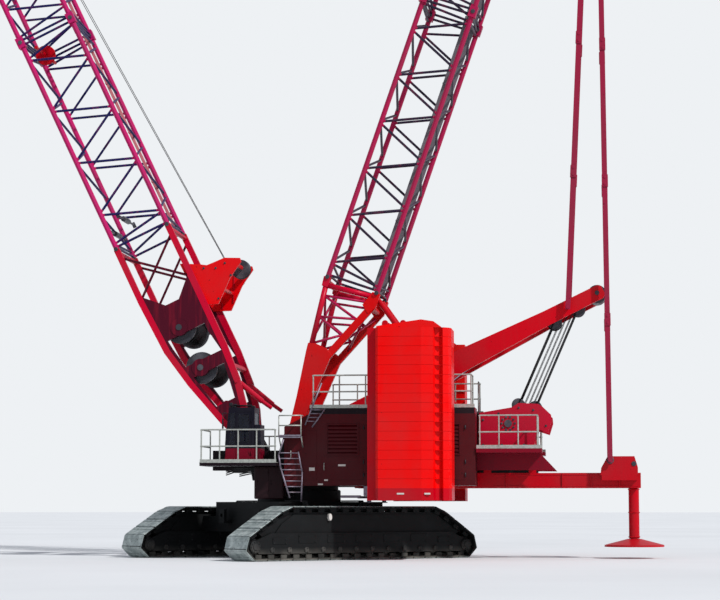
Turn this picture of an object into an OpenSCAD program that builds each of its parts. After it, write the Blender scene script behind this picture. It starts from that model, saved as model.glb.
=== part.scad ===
// Crawler crane, model scale 1:2. Millimetres. Origin on the ground under the slewing axis,
// +X towards the boom, +Y the operator's left, +Z up.

/* [Swing] */
// undercarriage turned under the upper works, degrees
swing = 44; // [-180:1:180]

/* [Crawlers] */
// length over the track shoes
track_len = 4580; // [3000:10:6000]
// height over the track shoes
track_h = 830; // [500:5:1200]
// length of the raised top run
top_run = 2900; // [1500:10:4000]
// radius of the loop at its ends
end_r = 215; // [150:1:400]
// width of a shoe
shoe_w = 600; // [300:5:1000]
// distance between track centres
gauge = 3020; // [2500:10:5000]
// thickness of a shoe's pad
shoe_t = 45; // [20:1:80]
// thickness of the chain under the shoes
link_t = 35; // [20:1:80]
// shoes on a track
shoes = 42; // [30:1:80]
// bottom rollers on a side
rollers = 12; // [6:1:16]
// radius of a bottom roller
roller_r = 85; // [50:1:120]

/* [Rotating bed] */
// top of the main girders
bed_top = 1720; // [1500:5:2000]
// underside of the main girders
bed_low = 1400; // [1200:5:1500]
// girder distance from the centre plane
girder_y = 650; // [400:5:800]
// girder width
girder_w = 180; // [80:5:300]
// front end of the girders
bed_front = 1300; // [1000:10:2000]
// rear end of the girders
bed_rear = -3900; // [-5000:10:-3000]
// outside face of houses and decks
side_y = 1250; // [1000:5:1500]
// deck height at the front
front_deck = 1507; // [1400:5:1700]
// deck height at the rear
rear_deck = 1725; // [1500:5:2000]
// roof height of the houses
house_top = 2276; // [2000:5:2600]
// height of a handrail
rail_h = 520; // [400:5:650]
// radius of a handrail
rail_r = 12; // [6:1:20]

/* [Boom] */
// boom foot pin, X
boom_x = 815; // [800:5:1800]
// boom foot pin, Z
boom_z = 1935; // [1500:5:2200]
// boom elevation
boom_el = 64.4; // [30:0.1:83]
// boom length
boom_len = 22000; // [12000:10:30000]
// boom depth over chord centres
boom_d = 936; // [600:5:1500]
// boom width over chord centres
boom_w = 1300; // [600:5:1800]
// length of the butt
butt_len = 3700; // [2500:10:5000]
// length of the tapered top
top_len = 2800; // [2000:10:4000]
// boom centre line in front of the foot pin
boom_off = 117; // [0:5:300]
// chord radius
chord_r = 42; // [30:1:80]
// brace radius
brace_r = 21; // [12:1:40]
// width of the couplings between sections
coupling_w = 128; // [100:2:180]
// length of a coupling on each section
coupling_h = 90; // [40:5:200]
// depth of the bars stowed along boom and mast
strap_d = 46; // [40:5:160]

/* [Mast] */
// mast foot, X
mast_x = 10; // [-200:5:600]
// mast foot, Z
mast_z = 1965; // [1700:5:2300]
// lean of the mast behind the vertical
mast_lean = 19.0; // [5:0.1:40]
// mast length
mast_len = 14000; // [10000:10:20000]
// front chord in front of the foot line
mast_f = 300; // [50:5:400]
// mast depth over chord centres
mast_d = 845; // [500:5:1200]
// mast width over chord centres
mast_w = 1300; // [600:5:1500]

/* [Live mast] */
// foot pin, X
live_x = -250; // [-600:5:0]
// tip, X
tip_x = -4881; // [-6000:1:-4000]
// tip, Z
tip_z = 4240; // [3500:5:5000]

/* [Counterweight] */
// front face of the stacks
cw_x1 = -1490; // [-2000:5:-800]
// rear face of the stacks
cw_x0 = -2640; // [-4000:5:-2000]
// inner face of the stacks
cw_y0 = 1320; // [1250:5:1600]
// outer face of the stacks
cw_y1 = 2200; // [1800:5:2800]
// underside of the lowest plate
cw_z0 = 1100; // [1000:5:1400]
// plates in a stack
cw_n = 17; // [4:1:30]
// thickness of a plate
cw_t = 145; // [80:5:300]
// underside of the tray
tray_z = 915; // [900:5:1100]

/* [Extended beam] */
// rear post
post_x = -5430; // [-6500:10:-4500]
// underside of the beam
beam_low = 1120; // [1000:5:1200]
// top of the beam
beam_top = 1360; // [1200:5:1370]

/* [Hidden] */
e_up = 90 - boom_el;
bore = 0.05;
// a seat's gap, and a brace's half width across its flats
gap = 0.3;
// places of the braces in a panel, at the front and rear chords of boom and mast
boom_u = 0.66; boom_v = 0.28; mast_u = 0.32; mast_v = 0.76;
boom_far = 0.15; mast_far = 0.28;
flat = cos(30);

red = [0.78, 0.02, 0.05];
maroon = [0.32, 0.02, 0.05];
black = [0.05, 0.05, 0.06];
grey = [0.62, 0.65, 0.66];
navy = [0.06, 0.05, 0.14];

// a bar from p to q
module bar(p, q, r, f = 8) {
  v = q - p;
  l = norm(v);
  translate(p) rotate([0, acos(v[2] / l), atan2(v[1], v[0])]) cylinder(h = l, r = r, $fn = f);
}

// a plate standing in the XZ plane from y0 to y1
module plate(pts, y0, y1) {
  translate([0, y1, 0]) rotate([90, 0, 0]) linear_extrude(y1 - y0) polygon(pts);
}

// a round pin along Y
module pin(x, z, y0, y1, r) {
  translate([x, y1, z]) rotate([90, 0, 0]) cylinder(h = y1 - y0, r = r, $fn = 48);
}

module box(a, b) { translate(a) cube(b - a); }

// four-chord lattice along Z; sections are [front x, rear x, half width] at z0 and z1; u and v are the
// places in a panel where the near-level brace meets the front and the rear chord; far is how much higher
// in a panel the braces of the other side face sit
module lattice(z0, z1, s0, s1, n, rc, rb, u, v, far) {
  function at(c, k) = let (t = k / n) [
    (c[0] > 0 ? s0[0] + (s1[0] - s0[0]) * t : s0[1] + (s1[1] - s0[1]) * t),
    c[1] * (s0[2] + (s1[2] - s0[2]) * t), z0 + (z1 - z0) * t];
  dz = (z1 - z0) / n;
  inset = rc / dz;
  off = (rb * 1.4) / dz;
  e = inset + 2 * off;
  turn = v > u ? -1 : 1;
  module brace(a, p, b, q)
    if ((p > e || q > e) && (p < n - e || q < n - e))
      bar(at(a, min(max(p, e), n - e)), at(b, min(max(q, e), n - e)), rb, 6);
  for (c = [[1, 1], [-1, 1], [-1, -1], [1, -1]]) bar(at(c, 0), at(c, n), rc, 8);
  for (w = [1, -1]) {
    for (q = [inset, n - inset]) {
      bar(at([1, w], q), at([-1, w], q), rb, 6);
      bar(at([w, 1], q), at([w, -1], q), rb, 6);
    }
    for (k = [-1:n]) {
      h = w > 0 ? 0 : far;
      brace([1, w], k + u + h, [-1, w], k + v + h);
      brace([1, w], k + u + h + turn * off, [-1, w], k + v + h + turn - turn * off);
      brace([w, 1], k + (w > 0 ? u : v) + off, [w, -1], k + (w > 0 ? u : v) + 0.5 - off);
      brace([w, -1], k + (w > 0 ? u : v) + 0.5 + off, [w, 1], k + (w > 0 ? u : v) + 1 - off);
    }
  }
}
// couplings of a lattice section at height z: s as above
module collars(z, s) {
  for (c = [s[0], s[1]]) for (y = [-s[2], s[2]])
    translate([c, y, z]) cube([coupling_w, coupling_w, coupling_h], center = true);
}

// loop of the track
e_x = track_len / 2 - end_r;
slope = atan2(track_h - 2 * end_r, e_x - top_run / 2 + end_r * 0.2);
function arc(cx, cz, r, a0, a1, n) = [for (i = [0:n])
  let (a = a0 + (a1 - a0) * i / n) [cx + r * cos(a), cz + r * sin(a)]];
half = concat([[0, 0]], arc(e_x, end_r, end_r, -90, 90 - slope, 14),
  arc(top_run / 2, track_h - 160, 160, 90 - slope, 90, 4), [[0, track_h]]);
loop = concat(half, [for (i = [len(half) - 2:-1:1]) [-half[i][0], half[i][1]]], [[0, 0]]);
function run(i) = i == 0 ? 0 : run(i - 1) + norm(loop[i] - loop[i - 1]);
acc = [for (i = [0:len(loop) - 1]) run(i)];
total = acc[len(loop) - 1];
tx = [for (i = [0:len(loop) - 1]) [acc[i], loop[i][0]]];
tz = [for (i = [0:len(loop) - 1]) [acc[i], loop[i][1]]];
function lp(s) = let (w = s < 0 ? s + total : s >= total ? s - total : s)
  [lookup(w, tx), lookup(w, tz)];
function inw(s, d) = let (t = lp(s + 6) - lp(s - 6), u = t / norm(t)) lp(s) + d * [-u[1], u[0]];
pitch = total / shoes;
track_out = [for (i = [0:shoes - 1]) for (k = [[0.04, 0], [0.96, 0], [0.965, 1], [1.035, 1]])
  let (s = (i + k[0]) * pitch) inw(s >= total ? s - total : s, k[1] * shoe_t * 0.8)];
track_in = [for (i = [0:4 * shoes - 1]) inw(i * pitch / 4, shoe_t + link_t)];

module track(y) {
  rotate([0, 0, swing]) translate([0, y + shoe_w / 2, 0]) rotate([90, 0, 0])
    linear_extrude(shoe_w) difference() {
      polygon(track_out);
      polygon(track_in);
    }
}
module track_left() { color(black) track(gauge / 2); }
module track_right() { color(black) track(-gauge / 2); }

// crawler frames
wheel_z = shoe_t + link_t;
roll_z = wheel_z + roller_r + 0.3;
roll_span = 2 * e_x - 640;
end_wheel = end_r - wheel_z - 4.5;
module wheels_of(y, r, w) {
  for (i = [0:rollers - 1]) pin(-roll_span / 2 + i * roll_span / (rollers - 1), roll_z, y - w, y + w, r);
}
module frame(y) {
  rotate([0, 0, swing]) difference() {
    union() {
      plate([[-e_x + 330, 262], [e_x - 330, 262], [e_x - 330, 330], [top_run / 2 + 100, 560],
        [top_run / 2 - 120, 700], [-top_run / 2 + 120, 700], [-top_run / 2 - 100, 560],
        [-e_x + 330, 330]], y - 195, y + 195);
      for (s = [-1, 1]) plate([[-e_x - 60, 190], [-e_x + 80, 110], [e_x - 80, 110], [e_x + 60, 190],
        [e_x + 60, 280], [e_x - 300, 420], [-e_x + 300, 420], [-e_x - 60, 280]],
        y + s * 215 - 25, y + s * 215 + 25);
    }
    for (i = [0:rollers - 1])
      pin(-roll_span / 2 + i * roll_span / (rollers - 1), roll_z, y - 300, y + 300, 30 + bore);
    for (s = [-1, 1]) pin(s * e_x, end_r, y - 300, y + 300, 40 + bore);
  }
}
module frame_left() { color(black) frame(gauge / 2); }
module frame_right() { color(black) frame(-gauge / 2); }
module track_wheels() {
  color([0.15, 0.15, 0.16]) rotate([0, 0, swing]) for (y = [-gauge / 2, gauge / 2]) {
    wheels_of(y, roller_r, 185);
    wheels_of(y, 30, 242);
    for (s = [-1, 1]) {
      pin(s * e_x, end_r, y - 185, y + 185, end_wheel);
      pin(s * e_x, end_r, y - 255, y + 255, 40);
    }
  }
}

// lower pins of the mast stops
stop_x = -2700; stop_z = 2268;

// carbody
axle_y = gauge / 2 - 195 - gap;
module carbody() {
  color(black) rotate([0, 0, swing]) difference() {
    union() {
      for (x = [-820, 820]) box([x - 190, -axle_y, 425], [x + 190, axle_y, 670]);
      box([-1030, -900, 420], [1030, 900, 900]);
      translate([0, 0, 880]) cylinder(h = 200, r = 680, $fn = 96);
      translate([0, 0, 1060]) cylinder(h = 120, r = 640, $fn = 96);
      for (s = [-1, 1]) for (y = [-500, 500]) {
        box([s > 0 ? 1000 : -1190, y - 75, 560], [s > 0 ? 1190 : -1000, y + 75, 600]);
        box([s > 0 ? 1140 : -1190, y - 75, 560], [s > 0 ? 1190 : -1140, y + 75, 780]);
      }
    }
    translate([0, 0, 300]) cylinder(h = 1000, r = 260, $fn = 64);
    for (s = [-1, 1]) for (y = [-500, 500])
      translate([s * 1165 - 50, y, 685]) rotate([0, 90, 0]) cylinder(h = 100, r = 32, $fn = 48);
  }
}

// rotating bed
module rotating_bed() {
  color(maroon) difference() {
    union() {
      for (s = [-1, 1]) {
        plate([[bed_rear - 300, bed_low], [bed_front, bed_low], [bed_front, bed_top], [bed_rear, bed_top]],
          s * girder_y - girder_w / 2, s * girder_y + girder_w / 2);
        for (t = [-1, 1]) {
          plate([[boom_x - 260, bed_top - 40], [boom_x + 200, bed_top - 40], [boom_x + 90, boom_z + 60],
            [boom_x - 90, boom_z + 60]], s * girder_y + t * 67 - 20, s * girder_y + t * 67 + 20);
          plate([[mast_x - 330, bed_top - 40], [mast_x + 220, bed_top - 40], [mast_x + 110, mast_z + 90],
            [mast_x - 110, mast_z + 90]], s * girder_y + t * 67 - 20, s * girder_y + t * 67 + 20);
        }
        plate([[live_x - 240, bed_low + 20], [live_x + 170, bed_low + 20], [live_x + 90, mast_z + 90],
          [live_x - 90, mast_z + 90]], s * 300 - 20, s * 300 + 20);
        plate([[stop_x - 160, bed_top - 40], [stop_x + 140, bed_top - 40], [stop_x + 70, stop_z + 70],
          [stop_x - 70, stop_z + 70]], s * 590 - 15, s * 590 + 15);
      }
      for (x = [1180, -1400, -3100, -3820]) box([x - 70, -girder_y, bed_low + 60], [x + 70, girder_y,
        bed_top - 60]);
      plate([[-720, 1240], [650, 1240], [688, bed_low + 60], [-720, bed_low + 60]], gap - in_y, in_y - gap);
      box([-860, -girder_y, bed_low], [860, girder_y, bed_low + 60]);
    }
    translate([0, 0, 1200]) cylinder(h = 400, r = 240, $fn = 64);
    pin(boom_x, boom_z, -800, 800, 45 + bore);
    pin(mast_x, mast_z, -800, 800, 45 + bore);
    pin(live_x, mast_z, -400, 400, 40 + bore);
    pin(stop_x, stop_z, -800, 800, 30 + bore);
  }
}
module bed_plates() {
  color([0.2, 0.2, 0.21]) difference() {
    translate([0, 0, 1180 + gap]) cylinder(h = 60 - 2 * gap, r = 600, $fn = 96);
    translate([0, 0, 1100]) cylinder(h = 300, r = 240, $fn = 64);
  }
}

// houses, one on each side, with a sloped front corner
in_y = girder_y + girder_w / 2 + gap;
h_low = 1150; h_rear = -2960; wall = 12;
module house(s) {
  w = side_y - in_y;
  difference() {
    translate([0, s > 0 ? in_y : -side_y, 0]) plate([[h_rear, h_low], [60, h_low], [60, 2080], [-330,
      house_top],
      [h_rear, house_top]], 0, w);
    translate([0, s > 0 ? in_y + wall : -side_y + wall, 0]) plate([[h_rear + wall, h_low + wall],
      [60 - wall, h_low + wall],
      [60 - wall, 2073], [-334, house_top - wall], [h_rear + wall, house_top - wall]], 0, w - 2 * wall);
  }
}
module houses() {
  color(maroon) for (s = [-1, 1]) difference() {
    house(s);
    for (x = [-2700, -1900, -1100]) for (z = [0:7])
      box([x, s * side_y - 20, 1650 + z * 60], [x + 460, s * side_y + 20, 1680 + z * 60]);
  }
}
module engine_block() {
  color([0.25, 0.25, 0.26]) for (s = [-1, 1])
    box([-2200, s * 995 - 180, h_low + wall + gap], [-500, s * 995 + 180, 2000]);
}

// decks and handrails
deck_y = 1560; rail_y = deck_y - 20; walk_z = house_top + 94;
module decks() {
  color(maroon) for (m = [0, 1]) mirror([0, m, 0]) {
    box([135, in_y, front_deck - 48], [1358, deck_y, front_deck]);
    box([-4000, in_y, rear_deck - 60], [h_rear - 15, side_y + 30, rear_deck]);
    box([h_rear, in_y, house_top + gap], [-340, side_y, walk_z]);
  }
}
module rails(x0, x1, y, z, n) {
  for (k = [1, 2]) bar([x0, y, z + rail_h * k / 2], [x1, y, z + rail_h * k / 2], rail_r, 8);
  for (i = [0:n]) bar([x0 + (x1 - x0) * i / n, y, z + gap], [x0 + (x1 - x0) * i / n, y, z + rail_h],
    rail_r, 8);
}
module rail_end(x, y0, y1, z) {
  for (k = [1, 2]) bar([x, y0, z + rail_h * k / 2], [x, y1, z + rail_h * k / 2], rail_r, 8);
  for (y = [y0, y1]) bar([x, y, z + gap], [x, y, z + rail_h], rail_r, 8);
}
module handrails() {
  color(grey) for (m = [0, 1]) mirror([0, m, 0]) {
    rails(-3930, -3030, side_y, rear_deck, 3);
    rail_end(-3930, in_y + 40, side_y, rear_deck);
    rails(-2900, -400, side_y - 20, walk_z, 6);
    rail_end(-2900, in_y + 40, side_y - 20, walk_z);
    rails(160, 1335, rail_y, front_deck, 4);
    rail_end(1335, in_y + 40, rail_y, front_deck);
  }
}

// operator's cab, left front
cx0 = 540; cx1 = 1011; cy0 = 765; cy1 = 1235; cz0 = front_deck + gap; cz1 = 2392; ct = 18;
module cab_solid(o) {
  plate([[cx0 + o, cz0 + o], [cx1 - o, cz0 + o], [cx1 - o, cz0 + 320], [cx1 - 60 - o, cz1 - o],
    [cx0 + o, cz1 - o]], cy0 + o, cy1 - o);
}
d_w = 240;
module door_hole(o) { box([cx0 + 50 + o, cy1 - 40, cz0 + 40 + o], [cx0 + 60 + d_w - o, cy1 + 40,
  cz1 - 70 - o]); }
module side_hole(o) { box([cx0 + 75 + d_w + o, cy1 - 40, cz0 + 300 + o], [cx1 - 75 - o, cy1 + 40,
  cz1 - 90 - o]); }
module far_hole(o) { box([cx0 + 60 + o, cy0 - 40, cz0 + 380 + o], [cx1 - 90 - o, cy0 + 40, cz1 - 90 - o]); }
module rear_hole(o) { box([cx0 - 40, cy0 + 60 + o, cz0 + 420 + o], [cx0 + 40, cy1 - 60 - o,
  cz1 - 90 - o]); }
module front_hole(o) { box([cx1 - 110, cy0 + 40 + o, cz0 + 100 + o], [cx1 + 60, cy1 - 40 - o,
  cz1 - 60 - o]); }
module roof_hole(o) { box([cx0 + 100 + o, cy0 + 90 + o, cz1 - 40], [cx1 - 150 - o, cy1 - 90 - o,
  cz1 + 40]); }
hin_x = cx0 + 46; hin_y = cy1 + 12;
hinges = [cz0 + 150, cz1 - 220];
module cab_shell() {
  color(red) {
    difference() {
      cab_solid(0);
      cab_solid(ct);
      door_hole(0); side_hole(0); far_hole(0); rear_hole(0); front_hole(0); roof_hole(0);
    }
    for (z = hinges) {
      for (k = [-14, 40 + gap]) box([hin_x - 12, cy1 - 3, z + k], [hin_x + 3, hin_y + 8, z + k + 14 - gap]);
      translate([hin_x, hin_y, z - 10]) cylinder(h = 60, r = 6, $fn = 32);
    }
    box([440, 860, cz0], [cx0 - 8, cy1, 2116]);
  }
}
module skin() { difference() { cab_solid(5); cab_solid(11); } }
module cab_glass() {
  color(navy) {
    intersection() { skin(); side_hole(0.3); }
    intersection() { skin(); far_hole(0.3); }
    intersection() { skin(); rear_hole(0.3); }
    intersection() { skin(); front_hole(0.3); }
    intersection() { skin(); roof_hole(0.3); }
  }
}
module cab_door() {
  color(red) difference() {
    union() {
      box([cx0 + 55, cy1 - ct, cz0 + 45], [cx0 + 55 + d_w, cy1, cz1 - 75]);
      for (z = hinges) {
        translate([hin_x, hin_y, z]) cylinder(h = 40, r = 11, $fn = 32);
        box([hin_x, cy1 + 2, z], [hin_x + 40, cy1 + 8, z + 40]);
        box([hin_x + 14, cy1 - 5, z], [hin_x + 40, cy1 + 5, z + 40]);
      }
    }
    box([cx0 + 90, cy1 - 60, cz0 + 330], [cx0 + 20 + d_w, cy1 + 60, cz1 - 115]);
    for (z = hinges) translate([hin_x, hin_y, z - 5]) cylinder(h = 50, r = 6 + bore, $fn = 32);
  }
}
module door_glass() {
  color(navy) box([cx0 + 90 + gap, cy1 - 12, cz0 + 330 + gap], [cx0 + 20 + d_w - gap, cy1 - 6,
    cz1 - 115 - gap]);
}
module cab_fittings() {
  color([0.12, 0.12, 0.13]) {
    box([cx0 + 100, cy0 + 150, cz0 + ct + gap], [cx0 + 230, cy1 - 150, cz0 + 150]);
    box([cx0 + 70, cy0 + 120, cz0 + 140], [cx0 + 260, cy1 - 120, cz0 + 220]);
    box([cx0 + 45, cy0 + 130, cz0 + 190], [cx0 + 100, cy1 - 130, cz0 + 560]);
    box([cx0 + 330, cy0 + 130, cz0 + ct + gap], [cx0 + 400, cy1 - 130, cz0 + 300]);
  }
}
module foot_pins() {
  color(grey) for (s = [-1, 1]) {
    for (p = [[boom_x, boom_z], [mast_x, mast_z]]) pin(p[0], p[1], s * girder_y - girder_w / 2,
      s * girder_y + girder_w / 2, 45);
    pin(live_x, mast_z, s * 340 - 100, s * 340 + 100, 40);
  }
}

// mast
ma = mast_f; mb = mast_f - mast_d; mw = mast_w / 2;
m_butt = 2600; m_head = mast_len - 1700; m_n = 6;
module at_mast() { translate([mast_x, 0, mast_z]) rotate([0, -mast_lean, 0]) children(); }
module at_boom() { translate([boom_x, 0, boom_z]) rotate([0, e_up, 0]) children(); }
ms_x = -1315; ms_z = 4216;
module mast_butt() {
  color(red) difference() {
    at_mast() {
      for (s = [-1, 1]) {
        plate([[-80, -90], [80, -90], [145, 619], [240, 1358], [ma + 60, m_butt], [ma - 60, m_butt],
          [60, 1750], [mb + 60, m_butt], [mb - 60, m_butt], [mb - 60, m_butt - 200], [-170, 1358],
          [-110, 619]], s * mw - 45, s * mw + 45);
      }
      for (z = [800, 1400]) bar([20, -mw, z], [20, mw, z], 60, 8);
      for (s = [-1, 1]) bar([ma, s * mw, m_butt - 130], [mb, s * mw, m_butt - 70], 42, 8);
      for (p = [[ma, m_butt - 70], [mb + 50, m_butt - 230]]) bar([p[0], -mw, p[1]], [p[0], mw, p[1]],
        50, 8);
    }
    pin(mast_x, mast_z, -800, 800, 45 + bore);
    pin(ms_x, ms_z, -800, 800, 30 + bore);
  }
}
m_cnt = 2;
m_sec = (m_head - m_butt) / m_cnt;
module mast_inserts() {
  color(maroon) at_mast() for (i = [0:m_cnt - 1])
    union() {
      lattice(m_butt + i * m_sec + gap, m_butt + (i + 1) * m_sec - gap, [ma, mb, mw], [ma, mb, mw],
        m_n, chord_r,
        brace_r, mast_u, mast_v, mast_far);
      collars(m_butt + (i + 1) * m_sec - gap - coupling_h / 2, [ma, mb, mw]);
      if (i > 0) collars(m_butt + i * m_sec + gap + coupling_h / 2, [ma, mb, mw]);
    }
}
mx = (ma + mb) / 2;
module mast_head() {
  color(maroon) difference() {
    at_mast() {
      difference() {
        union() {
          lattice(m_head - 15, mast_len - 300, [ma, mb, mw], [mx + 170, mx - 170, mw - 230], 2,
            chord_r, brace_r,
            mast_u, mast_v, mast_far);
          collars(m_head + coupling_h / 2, [ma, mb, mw]);
        }
        box([-1500, -1500, m_head - 300], [1500, 1500, m_head + gap]);
      }
      for (y = [-450, -150, 150, 450])
        plate([[mx - 230, mast_len - 420], [mx + 270, mast_len - 420], [mx + 270, mast_len - 180],
          [mx + 160, mast_len + 190],
          [mx - 160, mast_len + 190], [mx - 420, mast_len + 20], [mx - 420, mast_len - 110]], y - 20,
            y + 20);
      for (p = [[mx - 150, mast_len - 350], [mx + 120, mast_len - 430]])
        bar([p[0], -mw + 220, p[1]], [p[0], mw - 220, p[1]], 60, 8);
    }
    at_mast() pin(mx, mast_len, -800, 800, 50 + bore);
    at_mast() pin(mx + 190, mast_len - 260, -800, 800, 30 + bore);
    at_mast() pin(mx - 340, mast_len - 60, -800, 800, 30 + bore);
  }
}
module mast_straps() {
  color(grey) at_mast() for (s = [-1, 1]) for (i = [0:m_cnt - 1])
    box([mb + brace_r * flat + gap, s * 380 - 30, m_butt + i * m_sec + 20],
      [mb + brace_r * flat + gap + strap_d, s * 380 + 30, m_butt + (i + 1) * m_sec - 20]);
}
module mast_sheaves() {
  color(grey) at_mast() {
    for (y = [-300, 0, 300]) pin(mx, mast_len, y - 70, y + 70, 210);
    pin(mx, mast_len, -480, 480, 50);
  }
}
module mast_stops() {
  color(maroon) for (s = [-1, 1]) {
    k = [ms_x * 0.15 + stop_x * 0.85, ms_z * 0.15 + stop_z * 0.85];
    bar([ms_x, s * 520, ms_z], [k[0], s * 520, k[1]], 42, 12);
    bar([k[0], s * 520, k[1]], [stop_x, s * 520, stop_z], 30, 12);
    pin(ms_x, ms_z, s > 0 ? 490 : -715, s > 0 ? 715 : -490, 30);
    pin(stop_x, stop_z, s > 0 ? 490 : -620, s > 0 ? 620 : -490, 30);
  }
}

// live mast: two box arms with ties
lx0 = live_x; lx1 = tip_x; lz1 = tip_z;
la = atan2(lz1 - mast_z, lx0 - lx1);
ll = norm([lx1 - lx0, lz1 - mast_z]);
module at_live() { translate([lx0, 0, mast_z]) rotate([0, -90 + la, 0]) children(); }
module live_mast() {
  color(maroon) difference() {
    at_live() {
      for (s = [-1, 1]) plate([[-60, -70], [60, -70], [180, 800], [190, 2500], [120, ll - 900], [115,
        ll + 60], [70, ll + 110],
        [-70, ll + 110], [-115, ll + 60], [-120, ll - 900], [-190, 2500], [-180, 800]], s * 360 - 35,
          s * 360 + 35);
      for (z = [600, 1900, 3200, ll - 600]) bar([0, -360, z], [0, 360, z], 45, 8);
    }
    pin(lx0, mast_z, -500, 500, 40 + bore);
    at_live() pin(0, ll, -500, 500, 36 + bore);
    at_live() pin(0, ll - 520, -500, 500, 30 + bore);
  }
}
module live_sheaves() {
  color(grey) at_live() {
    for (y = [-150, 0, 150]) pin(0, ll, y - 50, y + 50, 150);
    pin(0, ll, -420, 420, 36);
  }
}

// pendants from the mast head to the live mast and to the rear beam
function mh(x, z) = [mast_x + x * cos(mast_lean) - z * sin(mast_lean), mast_z + x * sin(mast_lean)
  + z * cos(mast_lean)];
function lv(z) = [lx0 - z * cos(la), mast_z + z * sin(la)];
pend_a = mh(mx - 340, mast_len - 60);
live_a = lv(ll - 520);
rear_a = [-5057, 1559];
module link(p, q, y, w, t) {
  v = q - p;
  l = norm(v);
  translate([p[0], y, p[1]]) rotate([0, 90 - atan2(v[1], v[0]), 0]) difference() {
    box([-w, -t, -w], [w, t, l + w]);
    rotate([90, 0, 0]) translate([0, 0, -t * 2]) cylinder(h = t * 4, r = 30 + bore, $fn = 48);
    translate([0, 0, l]) rotate([90, 0, 0]) translate([0, 0, -t * 2]) cylinder(h = t * 4,
      r = 30 + bore, $fn = 48);
  }
}
module backstays() {
  color(grey) for (s = [-1, 1]) {
    link(live_a, pend_a, s * 490, 40, 14);
    link(rear_a, pend_a, s * 530, 40, 14);
    pin(live_a[0], live_a[1], s > 0 ? 300 : -512, s > 0 ? 512 : -300, 30);
    pin(pend_a[0], pend_a[1], s > 0 ? 420 : -560, s > 0 ? 560 : -420, 30);
    pin(rear_a[0], rear_a[1], s > 0 ? 405 : -560, s > 0 ? 560 : -405, 30);
  }
}

// winch and sheave housing at the rear
module rear_horn() {
  color(red) difference() {
    union() for (s = [-1, 1]) {
      plate([[-2990, bed_top + gap], [-3850, bed_top + gap], [-3909, 2052], [-4083, 1994], [-4140,
        2178], [-4133, 2274],
        [-3997, 2406], [-3928, 2450], [-3620, 2467], [-3508, 2397], [-2990, 2311]], s * 620 - 20,
          s * 620 + 20);
      for (p = [[-3100, 1850], [-3800, 1850], [-4030, 2200]]) bar([p[0], -620, p[1]], [p[0], 620,
        p[1]], 50, 8);
    }
    pin(winch_x, winch_z, -700, 700, 60 + bore);
  }
}
winch_x = -3450; winch_z = 2140;
module rear_winch() {
  color([0.3, 0.3, 0.31]) {
    pin(winch_x, winch_z, -660, 660, 60);
    pin(winch_x, winch_z, -570, 570, 170);
    for (s = [-1, 1]) pin(winch_x, winch_z, s * 560 - 15, s * 560 + 15, 230);
  }
}

// beam to the rear with its bracket
module rear_beam() {
  color(maroon) difference() {
    union() {
      for (s = [-1, 1]) {
        box([post_x - 110, s * 250 - 60, beam_low], [-950, s * 250 + 60, beam_top]);
        plate([[-5493, beam_top - 40], [-4900, beam_top - 40], [-4914, 1435], [-5017, 1620], [-5440, 1620],
          [-5493, 1443]], s * 440 - 25, s * 440 + 25);
        box([-5480, s > 0 ? 250 : -465, beam_top - 120], [-4920, s > 0 ? 465 : -250, beam_top - 30]);
        for (x = [-3100, -3820]) box([x - 60, s * 250 - 60, beam_top - 10], [x + 60, s * 250 + 60,
          bed_low + 60 - gap]);
      }
      for (x = [post_x, -4300, -2900, -1100]) box([x - 90, -250, beam_low + 20], [x + 90, 250,
        beam_top - 20]);
    }
    pin(rear_a[0], rear_a[1], -700, 700, 30 + bore);
    translate([post_x, 0, 900]) cylinder(h = 600, r = 62 + bore, $fn = 64);
  }
}
module rear_post() {
  color(maroon) {
    translate([post_x, 0, 275]) cylinder(h = 1130, r = 62, $fn = 64);
    translate([post_x, 0, 183]) cylinder(h = 30, r = 476, $fn = 64);
    translate([post_x, 0, 213]) cylinder(h = 95, r1 = 476, r2 = 110, $fn = 64);
  }
}

// counterweight: trays joined under the bed, and the stacks
module cw_outline() {
  x = cw_x0; y = cw_y1;
  polygon([[cw_x1, cw_y0], [cw_x1, y - 40], [cw_x1 - 40, y], [x + 443, y], [x + 265, y - 45], [x + 240,
    y - 140],
    [x + 150, y - 190], [x + 120, y - 125], [x + 40, y - 190], [x, y - 280], [x, cw_y0]]);
}
module cw_trays() {
  color(maroon) for (m = [0, 1]) mirror([0, m, 0]) {
    translate([0, 0, tray_z]) linear_extrude(cw_z0 - tray_z - gap) cw_outline();
    box([cw_x1 + 5, cw_y1 - 230, tray_z], [cw_x1 + 135, cw_y1 - 120, cw_top]);
    box([cw_x1 - 60, cw_y1 - 230, tray_z], [cw_x1 + 135, cw_y1 - 120, tray_z + 100]);
  }
}
cw_s = 3;
cw_top = cw_z0 + cw_n * cw_t - cw_s;
cb_x = (cw_x0 + cw_x1) / 2 + 15;
module cw_crossbeam() {
  color(maroon) {
    box([cb_x - 200, -cw_y0 + gap, tray_z], [cb_x + 200, cw_y0 - gap, tray_z + 90]);
    for (m = [0, 1]) mirror([0, m, 0]) {
      box([cb_x - 150, 325, tray_z + 60], [cb_x + 150, 355, beam_top + 25]);
      box([cb_x - 150, 200, beam_top + gap], [cb_x + 150, 355, beam_top + 25]);
    }
  }
}
module cw_plates() {
  mid = [(cw_x0 + cw_x1) / 2, (cw_y0 + cw_y1) / 2];
  for (i = [0:cw_n - 1]) translate([0, 0, cw_z0 + i * cw_t]) {
    linear_extrude(cw_t - cw_s) cw_outline();
    if (i < cw_n - 1) translate([mid[0] - 450, mid[1] - 330, cw_t - cw_s - 1]) cube([900, 660, cw_s + 2]);
  }
  plate([[cw_x1 - 10, cw_top - 5], [cw_x1 - 10, cw_top + 25], [cw_x0 + 450, cw_top + 120],
    [cw_x0 + 260, cw_top + 90],
    [cw_x0 + 130, cw_top - 5]], cw_y0 + 10, cw_y1 - 60);
}
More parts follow.
